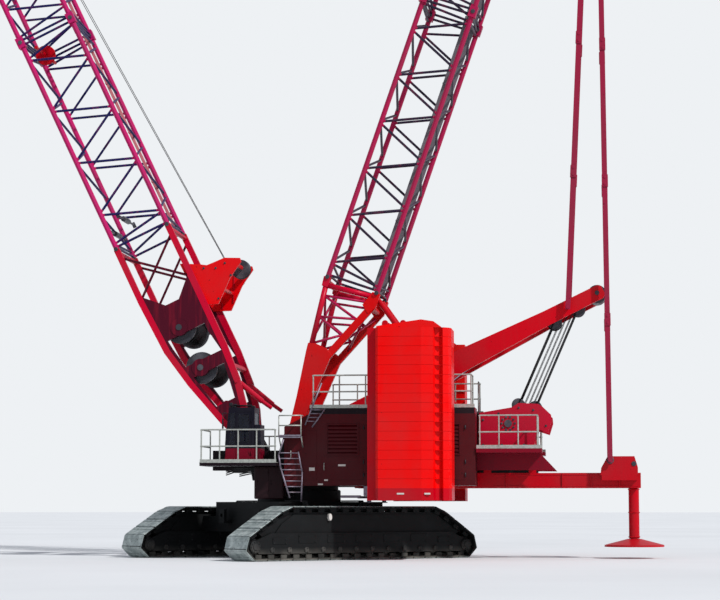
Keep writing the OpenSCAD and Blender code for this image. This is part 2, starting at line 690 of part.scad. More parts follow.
module cw_stack_left() { color(red) cw_plates(); }
module cw_stack_right() { color(red) mirror([0, 1, 0]) cw_plates(); }

// boom
bd = boom_d / 2; bw = boom_w / 2;
bf = boom_off + bd; br = boom_off - bd; b_n = 4;
stop_p = [930, 2850];
horn_y = bw - 60 - gap;
module boom_butt() {
  color(maroon) difference() {
    at_boom() {
      for (s = [-1, 1]) {
        difference() {
          plate([[-70, -70], [55, -70], [120, 60], [240, 375], [460, 1148], [590, 1799], [bf + 48, 2709],
            [bf + 48, butt_len], [bf - 48, butt_len], [bf - 48, 2800], [boom_off + 120, 2500],
            [boom_off - 120, 2500], [br + 48, 2800], [br + 48, butt_len], [br - 48, butt_len],
              [br - 48, 1900],
            [-400, 1480], [-358, 894], [-271, 446], [-140, 100]], s * bw - 40, s * bw + 40);
          plate([[-150, 640], [190, 640], [320, 1230], [-235, 1230]], s * bw - 60, s * bw + 60);
          plate([[-280, 1440], [370, 1440], [440, 1800], [460, 1960], [-220, 1960], [-220, 1800]],
            s * bw - 60, s * bw + 60);
        }
        for (p = drums) pin(p[0], p[1], s * bw - 50, s * bw + 50, 140);
      }
      for (p = [[20, 620], [br + 40, 1150], [bf - 60, 2150]]) bar([p[0], -bw, p[1]], [p[0], bw, p[1]],
        50, 8);
      for (x = [bf, br]) bar([x, -bw, butt_len - 70], [x, bw, butt_len - 70], 40, 8);
      for (s = [-1, 1]) for (t = [-1, 1])
        bar([boom_off + t * bd, s * bw, 2750], [boom_off - t * bd, s * bw, butt_len - 150], brace_r, 6);
    }
    pin(boom_x, boom_z, -800, 800, 45 + bore);
    at_boom() for (p = drums) pin(p[0], p[1], -800, 800, 50 + bore);
    pin(stop_p[0], stop_p[1], -800, 800, 30 + bore);
  }
}
drums = [[150, 1330], [190, 2080]];
b_end = boom_len - top_len;
b_cnt = 4;
b_sec = (b_end - butt_len) / b_cnt;
module boom_inserts() {
  color(maroon) at_boom() for (i = [0:b_cnt - 1])
    union() {
      lattice(butt_len + i * b_sec + gap, butt_len + (i + 1) * b_sec - gap, [bf, br, bw], [bf, br, bw],
        b_n, chord_r,
        brace_r, boom_u, boom_v, boom_far);
      collars(butt_len + (i + 1) * b_sec - gap - coupling_h / 2, [bf, br, bw]);
      if (i > 0) collars(butt_len + i * b_sec + gap + coupling_h / 2, [bf, br, bw]);
    }
}
module at_head() { at_boom() translate([boom_off, 0, 0]) children(); }
module boom_top() {
  color(maroon) difference() {
    at_head() {
      difference() {
        union() {
          lattice(b_end - 8, boom_len - 300, [bd, -bd, bw], [230, -230, bw - 150], 3, chord_r, brace_r,
            boom_u, boom_v, boom_far);
          collars(b_end + coupling_h / 2, [bd, -bd, bw]);
        }
        box([-1500, -1500, b_end - 300], [1500, 1500, b_end + gap]);
      }
      for (y = [-480, -160, 160, 480])
        plate([[-280, boom_len - 520], [280, boom_len - 520], [560, boom_len - 160], [560, boom_len + 60],
          [240, boom_len + 220], [-240, boom_len + 220], [-420, boom_len]], y - 20, y + 20);
      for (x = [-230, 230]) bar([x, -bw + 150, boom_len - 380], [x, bw - 150, boom_len - 380], 60, 8);
    }
    at_head() pin(0, boom_len, -800, 800, 50 + bore);
    at_head() pin(430, boom_len - 80, -800, 800, 40 + bore);
    at_head() pin(-330, boom_len + 20, -800, 800, 30 + bore);
  }
}
module boom_straps() {
  color([0.7, 0.6, 0.62]) at_boom() for (s = [-1, 1]) for (i = [0:b_cnt - 1])
    box([br + brace_r * flat + gap, s * 380 - 30, butt_len + i * b_sec + 20],
      [br + brace_r * flat + gap + strap_d, s * 380 + 30, butt_len + (i + 1) * b_sec - 20]);
}
module boom_horn() {
  color(red) {
    for (s = [-1, 1])
      plate([[1900, 4780], [1605, 4769], [1449, 4750], [1288, 4814], [1161, 4868], [900, 4862], [880, 4800],
        [1020, 4600], [1070, 4520], [1251, 4110], [1560, 4102]], s * horn_y - 20, s * horn_y + 20);
    for (p = [[980, 4760], [1420, 4280], [1240, 4400]]) bar([p[0], -horn_y, p[1]], [p[0], horn_y,
      p[1]], 40, 8);
  }
}
module drum(x, z) {
  color([0.3, 0.3, 0.31]) at_boom() {
    pin(x, z, -bw + 60, bw - 60, 190);
    for (s = [-1, 1]) pin(x, z, s * (bw - 85) - 15, s * (bw - 85) + 15, 260);
    pin(x, z, -bw - 60, bw + 60, 50);
  }
}
module lower_drum() { drum(drums[0][0], drums[0][1]); }
module upper_drum() { drum(drums[1][0], drums[1][1]); }
module boom_stops() {
  color(maroon) for (s = [-1, 1]) {
    bar([stop_p[0], s * 550, stop_p[1]], [530, s * 550, 2520], 45, 12);
    bar([530, s * 550, 2520], [375, s * 550, 2411], 32, 12);
    pin(stop_p[0], stop_p[1], s > 0 ? 520 : -710, s > 0 ? 710 : -520, 30);
  }
}
module head_sheaves() {
  color(grey) at_head() {
    for (y = [-320, 0, 320]) pin(0, boom_len, y - 75, y + 75, 190);
    pin(0, boom_len, -510, 510, 50);
  }
}

// boom suspension: ropes from the mast head, straps to the boom head
function bh(x, z) = [boom_x + x * cos(e_up) + z * sin(e_up), boom_z - x * sin(e_up) + z * cos(e_up)];
st0 = mh(mx + 190, mast_len - 260);
st1 = bh(boom_off - 330, boom_len + 20);
st_l = norm(st1 - st0);
st_a = atan2(st1[1] - st0[1], st1[0] - st0[0]);
module at_stay() { translate([st0[0], 0, st0[1]]) rotate([0, 90 - st_a, 0]) children(); }
rope_end = st_l * 0.45;
bar_y = bw - 10;
module stay_ropes() {
  color(black) at_stay() {
    for (y = [-60, 0, 60]) bar([0, y, 120], [0, y, rope_end], 12, 8);
    for (y = [-105, 105]) {
      pin(0, 0, y - 15, y + 15, 54);
      box([-50, y - 15, 0], [50, y + 15, 160]);
    }
    box([-40, -110, 70], [40, 110, 160]);
    pin(0, 0, -175, 175, 30);
  }
}
module stay_straps() {
  color(grey) at_stay() {
    difference() {
      box([-110, -110, rope_end - 200], [110, 110, rope_end + 420]);
      for (y = [-60, 0, 60]) translate([0, y, rope_end - 300]) cylinder(h = 900, r = 22, $fn = 24);
    }
    for (s = [-1, 1]) {
      box([-40, s > 0 ? bar_y : -bar_y - 30, rope_end + 300], [40, s > 0 ? bar_y + 30 : -bar_y, st_l]);
      pin(0, st_l, s > 0 ? bar_y : -bar_y - 30, s > 0 ? bar_y + 30 : -bar_y, 62);
      pin(0, st_l, s > 0 ? bar_y : -bar_y - 60, s > 0 ? bar_y + 60 : -bar_y, 30);
      box([-40, s > 0 ? 90 : -bar_y - 10, rope_end + 300], [40, s > 0 ? bar_y + 10 : -90, rope_end + 400]);
    }
  }
}

module head_pins() {
  color(grey) at_head() for (s = [-1, 1]) pin(-330, boom_len + 20, s > 0 ? 120 : gap - bar_y,
    s > 0 ? bar_y - gap : -120, 30);
}

// hoist lines and hook block under the nose
nose = bh(boom_off + 430, boom_len - 80);
hook_z = 17200;
module hoist_ropes() {
  color(black) for (y = [-60, 60]) bar([nose[0] + 130, y, hook_z + 360], [nose[0] + 130, y, nose[1]],
    13, 8);
}
module nose_sheaves() {
  color(grey) {
    for (y = [-60, 60]) pin(nose[0], nose[1], y - 30, y + 30, 117 - gap);
    pin(nose[0], nose[1], -190, 190, 40);
  }
}
module hook_block() {
  color(red) difference() {
    union() {
      for (s = [-1, 1]) plate([[nose[0] - 20, hook_z + 420], [nose[0] + 280, hook_z + 420],
        [nose[0] + 330, hook_z + 200],
    [nose[0] + 210, hook_z - 60], [nose[0] + 50, hook_z - 60], [nose[0] - 70, hook_z + 200]],
      s * 110 - 15, s * 110 + 15);
      pin(nose[0] + 130, hook_z + 210, -110, 110, 130);
      box([nose[0] + 50, -110, hook_z - 60], [nose[0] + 210, 110, hook_z + 30]);
      box([nose[0] + 95, -110, hook_z + 300], [nose[0] + 165, 110, hook_z + 360 - gap]);
    }
    translate([nose[0] + 130, 0, hook_z - 100]) cylinder(h = 160, r = 45 + bore, $fn = 48);
  }
}
module hook() {
  color(grey) translate([nose[0] + 130, 0, 0]) {
    translate([0, 0, hook_z - 370]) cylinder(h = 410, r = 45, $fn = 48);
    translate([0, 0, hook_z + 30.3]) cylinder(h = 30, r = 68, $fn = 48);
    translate([0, 35, hook_z - 560]) rotate([90, 0, 0]) linear_extrude(70) difference() {
      circle(r = 240, $fn = 48);
      circle(r = 120, $fn = 48);
      polygon([[0, 0], [500, 88], [500, 500], [182, 500]]);
    }
  }
}

carbody();
frame_left();
frame_right();
track_left();
track_right();
track_wheels();
rotating_bed();
bed_plates();
houses();
engine_block();
decks();
handrails();
cab_shell();
cab_glass();
cab_fittings();
cab_door();
door_glass();
foot_pins();
mast_butt();
mast_inserts();
mast_head();
mast_straps();
mast_sheaves();
mast_stops();
live_mast();
live_sheaves();
backstays();
rear_horn();
rear_winch();
rear_beam();
rear_post();
cw_trays();
cw_crossbeam();
cw_stack_left();
cw_stack_right();
boom_butt();
boom_inserts();
boom_top();
boom_straps();
boom_horn();
lower_drum();
upper_drum();
boom_stops();
head_sheaves();
head_pins();
stay_ropes();
stay_straps();
nose_sheaves();
hoist_ropes();
hook_block();
hook();
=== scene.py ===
import math

import bpy
from mathutils import Matrix, Vector


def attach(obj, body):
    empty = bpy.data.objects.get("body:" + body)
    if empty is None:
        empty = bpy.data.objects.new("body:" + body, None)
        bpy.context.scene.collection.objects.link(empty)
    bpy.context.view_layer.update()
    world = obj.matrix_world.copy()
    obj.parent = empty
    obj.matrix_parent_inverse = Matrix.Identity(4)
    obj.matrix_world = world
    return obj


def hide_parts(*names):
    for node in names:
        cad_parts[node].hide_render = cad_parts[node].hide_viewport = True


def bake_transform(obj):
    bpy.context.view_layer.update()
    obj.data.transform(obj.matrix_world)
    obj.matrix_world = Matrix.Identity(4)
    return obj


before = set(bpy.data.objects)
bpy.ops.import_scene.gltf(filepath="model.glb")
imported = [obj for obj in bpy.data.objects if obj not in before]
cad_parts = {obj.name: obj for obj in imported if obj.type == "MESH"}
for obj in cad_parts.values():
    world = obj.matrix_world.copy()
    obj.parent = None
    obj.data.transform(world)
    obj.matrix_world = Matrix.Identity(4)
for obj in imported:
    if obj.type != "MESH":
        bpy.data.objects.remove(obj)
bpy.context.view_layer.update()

# Sizes and places, in metres and degrees, as the part's source gives them
SWING = math.radians(44)
TRACK_LENGTH, TRACK_HEIGHT, TOP_RUN, END_RADIUS = 4.58, 0.83, 2.90, 0.215
GAUGE, SHOE_WIDTH, SHOE_THICK, SHOES = 3.02, 0.60, 0.045, 42
ROLLERS, ROLLER_RADIUS = 12, 0.085
BED_LOW = 1.40
HOUSE_OUTER, HOUSE_TOP = 1.25, 2.276
FRONT_DECK, REAR_DECK, DECK_SIDE, ROOF_WALK = 1.507, 1.725, 1.56, 2.37
BOOM_FOOT, BOOM_TILT, BOOM_LENGTH = (0.815, 0, 1.935), math.radians(25.6), 22.0
BOOM_FRONT, BOOM_REAR, BOOM_CENTRE, BUTT_LENGTH, TOP_START = 0.585, -0.351, 0.117, 3.7, 19.2
MAST_FOOT, MAST_TILT, MAST_LENGTH = (0.010, 0, 1.965), math.radians(-19), 14.0
MAST_FRONT, MAST_REAR, MAST_CENTRE, MAST_BUTT, MAST_HEAD = 0.30, -0.545, -0.1225, 2.6, 12.3
HALF_WIDTH = 0.65
LIVE_FOOT, LIVE_TIP = (-0.25, 0, 1.965), (-4.881, 0, 4.24)
CHORD_RADIUS, BRACE_RADIUS = 0.042, 0.021
STACK_LOW, SLAB, SLABS = 1.10, 0.145, 17
CAB_FRONT, CAB_INNER, CAB_OUTER, CAB_TOP, CAB_BEND = 1.011, 0.765, 1.235, 2.392, 1.827
FRAME_CHEEK = 0.6403
WINCH = (-3.45, 2.14)
BEAM_EYE, POST_X = (-5.057, 1.559), -5.43
DRUMS = {"lower_drum": (0.15, 1.33), "upper_drum": (0.19, 2.08)}
ROPE_RADIUS = 0.011
HOOK_HEIGHT = 17.2
BUTT_EDGES = ((1, ((0.06, 0.0), (0.24, 0.375), (0.46, 1.148), (0.59, 1.80), (0.633, 2.70))),
              (-1, ((0.14, 0.1), (0.27, 0.446), (0.36, 0.894), (0.40, 1.48))))


def at(x, y, z):
    return Matrix.Translation((x, y, z))


def axes(foot, tilt):
    """The frame of a boom or mast: Z runs along it from its foot."""
    return at(*foot) @ Matrix.Rotation(tilt, 4, "Y")


BOOM = axes(BOOM_FOOT, BOOM_TILT)
MAST = axes(MAST_FOOT, MAST_TILT)
TURN = Matrix.Rotation(SWING, 4, "Z")
SIDES = (1, -1)
LEFT_AND_RIGHT = (Matrix.Identity(4), Matrix.Scale(-1, 4, (0, 1, 0)))
NOSE = BOOM @ Vector((BOOM_CENTRE + 0.43, 0, BOOM_LENGTH - 0.08))
HOOK_X = NOSE.x + 0.130


# Finishes
def colour(code):
    """An sRGB hex colour as linear values."""
    parts = [int(code[i : i + 2], 16) / 255 for i in (1, 3, 5)]
    return tuple(c / 12.92 if c <= 0.04045 else ((c + 0.055) / 1.055) ** 2.4 for c in parts) + (1,)


def add_node(tree, kind, inputs=None, **settings):
    """Adds a node with its settings, and gives each input a value or a link."""
    made = tree.nodes.new("ShaderNode" + kind)
    for name, value in settings.items():
        setattr(made, name, value)
    for key, value in (inputs or {}).items():
        if isinstance(value, bpy.types.NodeSocket):
            tree.links.new(value, made.inputs[key])
        else:
            made.inputs[key].default_value = value
    return made


def begin(name, roughness, metallic=0.0, **shader_values):
    """A new material with its shader, and the place on the piece that patterns read."""
    material = bpy.data.materials.new(name)
    material.use_nodes = True
    tree = material.node_tree
    shader = tree.nodes["Principled BSDF"]
    shader.inputs["Roughness"].default_value = roughness
    shader.inputs["Metallic"].default_value = metallic
    for key, value in shader_values.items():
        shader.inputs[key.replace("_", " ")].default_value = value
    return material, tree, shader, add_node(tree, "TexCoord").outputs["Object"]


def blend_colours(tree, amount, *pair):
    """The colour between two, by an amount from 0 to 1. Each is a hex code, linear values or a link."""
    first, second = (colour(c) if isinstance(c, str) else c for c in pair)
    return add_node(tree, "Mix", {0: amount, 6: first, 7: second}, data_type="RGBA").outputs[2]


def maths(tree, operation, first, second=0.0):
    return add_node(tree, "Math", {0: first, 1: second}, operation=operation).outputs[0]


def map_range(tree, value, low, high, at_low, at_high):
    """The value carried over from one range to another."""
    ranges = {"Value": value, "From Min": low, "From Max": high, "To Min": at_low, "To Max": at_high}
    return add_node(tree, "MapRange", ranges).outputs["Result"]


def split(tree, place):
    """The three coordinates of a place."""
    return add_node(tree, "SeparateXYZ", {"Vector": place}).outputs


def patches(tree, place, size, low, high, detail=4.0):
    """Cloudy patches of about that size in metres, from 0 to 1 between the two levels."""
    cloud = add_node(tree, "TexNoise", {"Vector": place, "Scale": 1 / size, "Detail": detail})
    ramp = add_node(tree, "ValToRGB", {"Fac": cloud.outputs["Fac"]})
    ramp.color_ramp.elements[0].position = low
    ramp.color_ramp.elements[1].position = high
    return ramp.outputs["Color"]


def dust_low_down(tree, place, height):
    """Road dust: full at the ground, gone above the height, and patchy."""
    fall = map_range(tree, split(tree, place)["Z"], 0.0, height, 1.0, 0.0)
    return maths(tree, "MULTIPLY", fall, patches(tree, place, 0.35, 0.30, 0.75))


def relief(tree, shader, height, strength, depth):
    bump = add_node(tree, "Bump", {"Height": height, "Strength": strength, "Distance": depth})
    tree.links.new(bump.outputs["Normal"], shader.inputs["Normal"])


def paint(tree, shader, place, tone, grain=None):
    """Gives the shader its colour and its grain: size, strength and depth of a fine unevenness."""
    tree.links.new(tone, shader.inputs["Base Color"])
    if grain:
        size, strength, depth = grain
        noise = add_node(tree, "TexNoise", {"Vector": place, "Scale": 1 / size, "Detail": 3.0})
        relief(tree, shader, noise.outputs["Fac"], strength, depth)


def enamel(name, code, worn="#3a0a10", mask=None, other=None):
    """Alkyd enamel sprayed on steel: an even gloss with faded patches, rain streaks and scuffs to primer.

    The streaks run down, about 60 mm apart. The scuffs are drawn at 40 mm, as coarse as shows at this
    distance. Where the mask is black, the other colour shows.
    """
    material, tree, shader, place = begin(name, 0.34, Specular_IOR_Level=0.10, Coat_Weight=0.03,
                                          Coat_Roughness=0.2)
    base = colour(code)
    faded = tuple(min(1.0, c * 0.78 + 0.012) for c in base[:3]) + (1,)
    tone = blend_colours(tree, patches(tree, place, 0.9, 0.40, 0.72), base, faded)
    if mask:
        tone = blend_colours(tree, mask(tree, place), other, tone)
    stretch = add_node(tree, "Mapping", {"Vector": place, "Scale": (16.0, 16.0, 1.1)}).outputs["Vector"]
    streak = maths(tree, "MULTIPLY", patches(tree, stretch, 1.0, 0.52, 0.80), 0.35)
    tone = blend_colours(tree, streak, tone, faded)
    tone = blend_colours(tree, patches(tree, place, 0.04, 0.70, 0.74, 6.0), tone, worn)
    paint(tree, shader, place, tone, (0.012, 0.06, 0.001))
    return material


def along_axes(tree, place, foot, tilt):
    """The place in the frame of the boom or the mast."""
    shift = Matrix.Rotation(-tilt, 4, "Y") @ Vector((-foot[0], 0, -foot[2]))
    turned = add_node(tree, "Mapping", {"Vector": place, "Location": shift, "Rotation": (0, -tilt, 0)})
    return split(tree, turned.outputs[0])


def chord_mask(foot, tilt, centre, depths, widths, taper, plates):
    """White on the chords of a lattice and on its head plates, black on its braces, where painted shade goes.

    Over the taper, half the depth and half the width go from the first value to the second.
    """

    def mask(tree, place):
        spot = along_axes(tree, place, foot, tilt)
        near = []
        for axis, middle, sizes in (("X", centre, depths), ("Y", 0.0, widths)):
            distance = maths(tree, "ABSOLUTE", maths(tree, "SUBTRACT", spot[axis], middle))
            gap = maths(tree, "SUBTRACT", distance, map_range(tree, spot["Z"], *taper, *sizes))
            near.append(maths(tree, "GREATER_THAN", gap, -CHORD_RADIUS - 0.022))
        head = maths(tree, "GREATER_THAN", spot["Z"], plates)
        return maths(tree, "MAXIMUM", maths(tree, "MULTIPLY", *near), head)

    return mask


def butt_web_shade_mask(tree, place):
    """White on the two legs of the boom's butt, black on the web between them where painted shade goes, by
    the butt's own outline.
    """
    spot = along_axes(tree, place, BOOM_FOOT, BOOM_TILT)
    height = maths(tree, "DIVIDE", spot["Z"], BUTT_LENGTH)
    outside = []
    for sign, outline in BUTT_EDGES:
        ramp = add_node(tree, "ValToRGB", {"Fac": height})
        stops = ramp.color_ramp.elements
        for x, z in outline[2:]:
            stops.new(z / BUTT_LENGTH)
        for stop, (x, z) in zip(stops, outline):
            stop.position = z / BUTT_LENGTH
            stop.color = (x, x, x, 1)
        leg = maths(tree, "SUBTRACT", ramp.outputs["Color"], 0.105)
        outside.append(maths(tree, "GREATER_THAN", maths(tree, "MULTIPLY", spot["X"], sign), leg))
    return maths(tree, "MAXIMUM", *outside)


def beyond(axis, limit):
    """White past that level of X or Z, black before it."""
    return lambda tree, place: maths(tree, "GREATER_THAN", split(tree, place)[axis], limit)


def cast_steel(name, code, bright, dust=0.0, roughness=0.62):
    """Rolled and cast steel under mud and old paint: dull, near black, with rubbed and dusty patches."""
    material, tree, shader, place = begin(name, roughness, 0.25, Specular_IOR_Level=0.3)
    tone = blend_colours(tree, patches(tree, place, 0.22, 0.45, 0.80), code, bright)
    if dust:
        tone = blend_colours(tree, dust_low_down(tree, place, dust), tone, "#77736b")
    paint(tree, shader, place, tone, (0.02, 0.35, 0.003))
    return material


def galvanised(name, code):
    """Hot-dip galvanised steel tube: pale, satin, with a spangle about 25 mm across."""
    material, tree, shader, place = begin(name, 0.48, 0.55)
    spangle = add_node(tree, "TexVoronoi", {"Vector": place, "Scale": 40.0}).outputs["Color"]
    level = add_node(tree, "SeparateColor", {0: spangle}).outputs[0]
    dim = tuple(c * 0.72 for c in colour(code)[:3]) + (1,)
    tone = blend_colours(tree, level, dim, code)
    tone = blend_colours(tree, patches(tree, place, 0.30, 0.60, 0.85), tone, "#7a6a60")
    paint(tree, shader, place, tone, (0.01, 0.08, 0.001))
    return material


def worn_tread(name):
    """Manganese steel polished by the ground on its outer face: pale grey with dried mud."""
    material, tree, shader, place = begin(name, 0.5, 0.3)
    tone = blend_colours(tree, patches(tree, place, 0.10, 0.35, 0.70), "#8f9a98", "#c3ccc8")
    tone = blend_colours(tree, patches(tree, place, 0.03, 0.62, 0.70), tone, "#4a4a46")
    paint(tree, shader, place, tone, (0.015, 0.3, 0.003))
    return material


def wire_rope(name, lay=0.05):
    """Steel wire rope under black grease: dark, with the strands' spiral drawn every 50 mm of length."""
    material, tree, shader, place = begin(name, 0.55, 0.4)
    strands = add_node(tree, "TexWave", {"Vector": place, "Scale": 1 / lay, "Distortion": 0.4},
                       bands_direction="DIAGONAL").outputs["Fac"]
    paint(tree, shader, place, blend_colours(tree, strands, "#0a0a0c", "#1c1c20"))
    relief(tree, shader, strands, 0.5, 0.003)
    return material


def tinted_glass(name):
    """Toughened safety glass with a dark tint: smooth and glossy, with a film of dust."""
    material, tree, shader, place = begin(name, 0.08, Alpha=0.72, IOR=1.5)
    film = patches(tree, place, 0.25, 0.5, 0.9)
    paint(tree, shader, place, blend_colours(tree, film, "#0b0d1a", "#2a2c38"))
    return material


def rubber(name, code):
    """Moulded rubber and vinyl: matt black with a leather-like grain about 4 mm across."""
    material, tree, shader, place = begin(name, 0.75, Sheen_Weight=0.15)
    tone = blend_colours(tree, patches(tree, place, 0.08, 0.4, 0.8), code, "#26262a")
    paint(tree, shader, place, tone, (0.004, 0.35, 0.001))
    return material


BOOM_BRACE_SHADE_MASK = chord_mask(BOOM_FOOT, BOOM_TILT, BOOM_CENTRE, (0.468, 0.23), (HALF_WIDTH, 0.50),
                       (TOP_START, 21.7), 21.45)
MAST_BRACE_SHADE_MASK = chord_mask(MAST_FOOT, MAST_TILT, MAST_CENTRE, (0.4225, 0.17), (HALF_WIDTH, 0.42),
                       (MAST_HEAD, 13.7), 13.55)
CRANE_RED = enamel("enamel_red", "#e00008")
STACK_RED = enamel("enamel_stack_red", "#ea0000", worn="#8a0008")
DEEP_RED = enamel("enamel_deep_red", "#bc0016")
CRIMSON = enamel("enamel_crimson", "#c4002c")
# Dark maroon on the houses, their doors and louvres: painted shade, the crane's red as it looks in the
# counterweight stack's shadow.
HOUSE_SHADED_RED = enamel("enamel_house_red_painted_shade", "#4c0610", worn="#1c0a10")
# Near black ahead of X -2.95 and dark red behind it, on the rotating bed and decks: painted shade under the
# decks and under the rear deck's overhang, in place of the crane's red.
BED_PAINTED_SHADE = enamel("enamel_bed_painted_shade", "#170a12", worn="#3a3438", mask=beyond("X", -2.95), other="#7a0a20")
LEG_RED = enamel("enamel_mast_legs", "#d20408")
LIVE_RED = enamel("enamel_live_mast", "#ca0016")
PENDANT_RED = enamel("enamel_pendants", "#98203e")
LEG_BRACE_RED = enamel("enamel_leg_braces", "#b0164a")
# Near-black red on the valve cabinets: painted shade under the front decks.
CABINET_SHADED_RED = enamel("enamel_cabinets_painted_shade", "#26060f", worn="#3a3438")
# Dark maroon on the butt's web between its legs: painted shade, the shaded inside of the butt between the
# legs.
BUTT_RED = enamel("enamel_boom_butt", "#c4002c", mask=butt_web_shade_mask, other="#4a0a1e")
# Braces of boom and mast in dark navy and dark purple: painted shade of the backlit braces, which are red
# like the chords.
BOOM_PAINT = enamel("enamel_boom", "#b81860", mask=BOOM_BRACE_SHADE_MASK, other="#1c1c50")
MAST_PAINT = enamel("enamel_mast", "#a81848", mask=MAST_BRACE_SHADE_MASK, other="#2c2436")
STRAP_PAINT = enamel("enamel_boom_bars", "#c47478", worn="#6a4a50")
MAST_BAR_PAINT = enamel("enamel_mast_bars", "#6c666c", worn="#2a282c")
CAB_DARK = enamel("enamel_cab_dark", "#15131f", worn="#2c2a34", mask=beyond("Z", 1.74), other="#7a0822")
CONTROL_GREY = enamel("powder_coat_controls", "#24262a", worn="#3a3c40")
PLATE_PALE = enamel("enamel_pale_plates", "#d8d2cc", worn="#8a8480")
FRAME_STEEL = cast_steel("cast_steel_frames", "#060809", "#101315", dust=0.20)
ROLLER_STEEL = cast_steel("forged_steel_rollers", "#141516", "#2e3032", dust=0.3)
SHOE_STEEL = cast_steel("cast_steel_shoes", "#0c0e0f", "#1e2122", dust=0.22)
SHOE_FACE = worn_tread("worn_tread_steel")
BED_STEEL = cast_steel("machined_steel", "#24242a", "#3a3a40", roughness=0.4)
SHEAVE_STEEL = cast_steel("machined_sheave_steel", "#3a3a40", "#6a6a70", roughness=0.38)
RAIL_STEEL = galvanised("galvanised_rails", "#b9bcb4")
LADDER_STEEL = galvanised("galvanised_ladder", "#8c8290")
ROPE = wire_rope("greased_wire_rope")
GLASS = tinted_glass("tinted_glass")
LENS = tinted_glass("lamp_lens")
SEAT_VINYL = rubber("seat_vinyl", "#141416")
RUBBER_HOSE = rubber("hose_rubber", "#0e0e10")

NODE_FINISHES = (
    (FRAME_STEEL, "carbody frame_left frame_right"), (SHOE_STEEL, "track_left track_right"),
    (ROLLER_STEEL, "track_wheels"), (BED_PAINTED_SHADE, "rotating_bed decks"), (BED_STEEL, "bed_plates engine_block"),
    (HOUSE_SHADED_RED, "houses"), (RAIL_STEEL, "handrails"), (CAB_DARK, "cab_shell cab_door"),
    (GLASS, "cab_glass door_glass"), (SEAT_VINYL, "cab_fittings"), (LEG_RED, "mast_butt"),
    (MAST_PAINT, "mast_inserts mast_head"), (STRAP_PAINT, "mast_straps boom_straps"),
    (LIVE_RED, "live_mast"), (PENDANT_RED, "backstays"), (CRIMSON, "rear_horn boom_stops stay_straps"),
    (DEEP_RED, "mast_stops rear_beam rear_post cw_trays cw_crossbeam"), (BUTT_RED, "boom_butt"),
    (STACK_RED, "cw_stack_left cw_stack_right"), (BOOM_PAINT, "boom_inserts boom_top"),
    (CRANE_RED, "boom_horn hook_block"), (ROPE, "stay_ropes hoist_ropes"),
    (SHEAVE_STEEL, "foot_pins mast_sheaves live_sheaves rear_winch lower_drum upper_drum head_sheaves"
                   " head_pins nose_sheaves hook"),
)


def finish_nodes():
    """Every CAD node gets its finish."""
    finishes = {name: finish for finish, names in NODE_FINISHES for name in names.split()}
    for name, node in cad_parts.items():
        node.data.materials.clear()
        node.data.materials.append(finishes[name])


# Ways to build a piece
def deselect():
    bpy.ops.object.select_all(action="DESELECT")


def settle(name):
    """The new piece gets its name, and its place goes into its mesh."""
    piece = bpy.context.object
    piece.name = name
    bpy.ops.object.transform_apply(location=True, rotation=True, scale=True)
    return piece


def round_edges(piece, width):
    """Breaks the sharp edges."""
    bevel = piece.modifiers.new("edges", "BEVEL")
    bevel.width = width
    bevel.segments = 1
    bevel.limit_method = "ANGLE"
    bpy.context.view_layer.objects.active = piece
    bpy.ops.object.modifier_apply(modifier=bevel.name)
    return piece


def block(name, low, high, edge=0.004):
    """A block between two corners with its edges broken."""
    low, high = Vector(low), Vector(high)
    deselect()
    bpy.ops.mesh.primitive_cube_add(size=1, location=(low + high) / 2, scale=high - low)
    return round_edges(settle(name), min(edge, min(high - low) / 3))


def rod(name, start, end, radius, sides=12, edge=0.15):
    """A round bar between two points with broken ends."""
    start, end = Vector(start), Vector(end)
    way = end - start
    deselect()
    bpy.ops.mesh.primitive_cylinder_add(vertices=sides, radius=radius, depth=way.length,
                                        location=(start + end) / 2,
                                        rotation=way.to_track_quat("Z", "Y").to_euler())
    piece = round_edges(settle(name), radius * edge)
    deselect()
    piece.select_set(True)
    bpy.ops.object.shade_smooth_by_angle(angle=math.radians(40))
    return piece


def cross_rod(name, x, z, y_start, y_end, radius, sides=12, edge=0.15):
    """A round bar across the machine."""
    return rod(name, (x, y_start, z), (x, y_end, z), radius, sides, edge)


def plate(name, outline, y_start, y_end):
    """A plate standing in the XZ plane, cut to an outline."""
    deselect()
    bpy.ops.mesh.primitive_circle_add(vertices=len(outline), radius=1, fill_type="NGON")
    piece = settle(name)
    for corner, (x, z) in zip(piece.data.vertices, outline):
        corner.co = (x, y_start, z)
    bpy.ops.object.mode_set(mode="EDIT")
    bpy.ops.mesh.select_all(action="SELECT")
    bpy.ops.mesh.extrude_region_move(TRANSFORM_OT_translate={"value": (0, y_end - y_start, 0)})
    bpy.ops.mesh.select_all(action="SELECT")
    bpy.ops.mesh.normals_make_consistent(inside=False)
    bpy.ops.object.mode_set(mode="OBJECT")
    return round_edges(piece, 0.004)


def joined(name, parts, place=None):
    """Several parts as one piece, moved to its place where one is given."""
    deselect()
    for part in parts:
        part.select_set(True)
    bpy.context.view_layer.objects.active = parts[0]
    if len(parts) > 1:
        bpy.ops.object.join()
    parts[0].name = name
    if place is not None:
        parts[0].data.transform(place)
    return parts[0]


def copies(name, pattern, places):
    """Copies of a part at several places, each with its own mesh, joined. The pattern itself is used up."""
    made = []
    for place in places:
        copy = pattern.copy()
        copy.data = pattern.data.copy()
        copy.data.transform(place)
        if place.determinant() < 0:
            copy.data.flip_normals()
        bpy.context.collection.objects.link(copy)
        made.append(copy)
    bpy.data.objects.remove(pattern)
    return joined(name, made)


def dress(piece, body, *materials):
    """Gives a piece its finish and the body it rides on."""
    kept = [p.material_index for p in piece.data.polygons]
    piece.data.materials.clear()
    for material in materials:
        piece.data.materials.append(material)
    for polygon, index in zip(piece.data.polygons, kept):
        polygon.material_index = min(index, len(materials) - 1)
    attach(piece, body)
    return piece


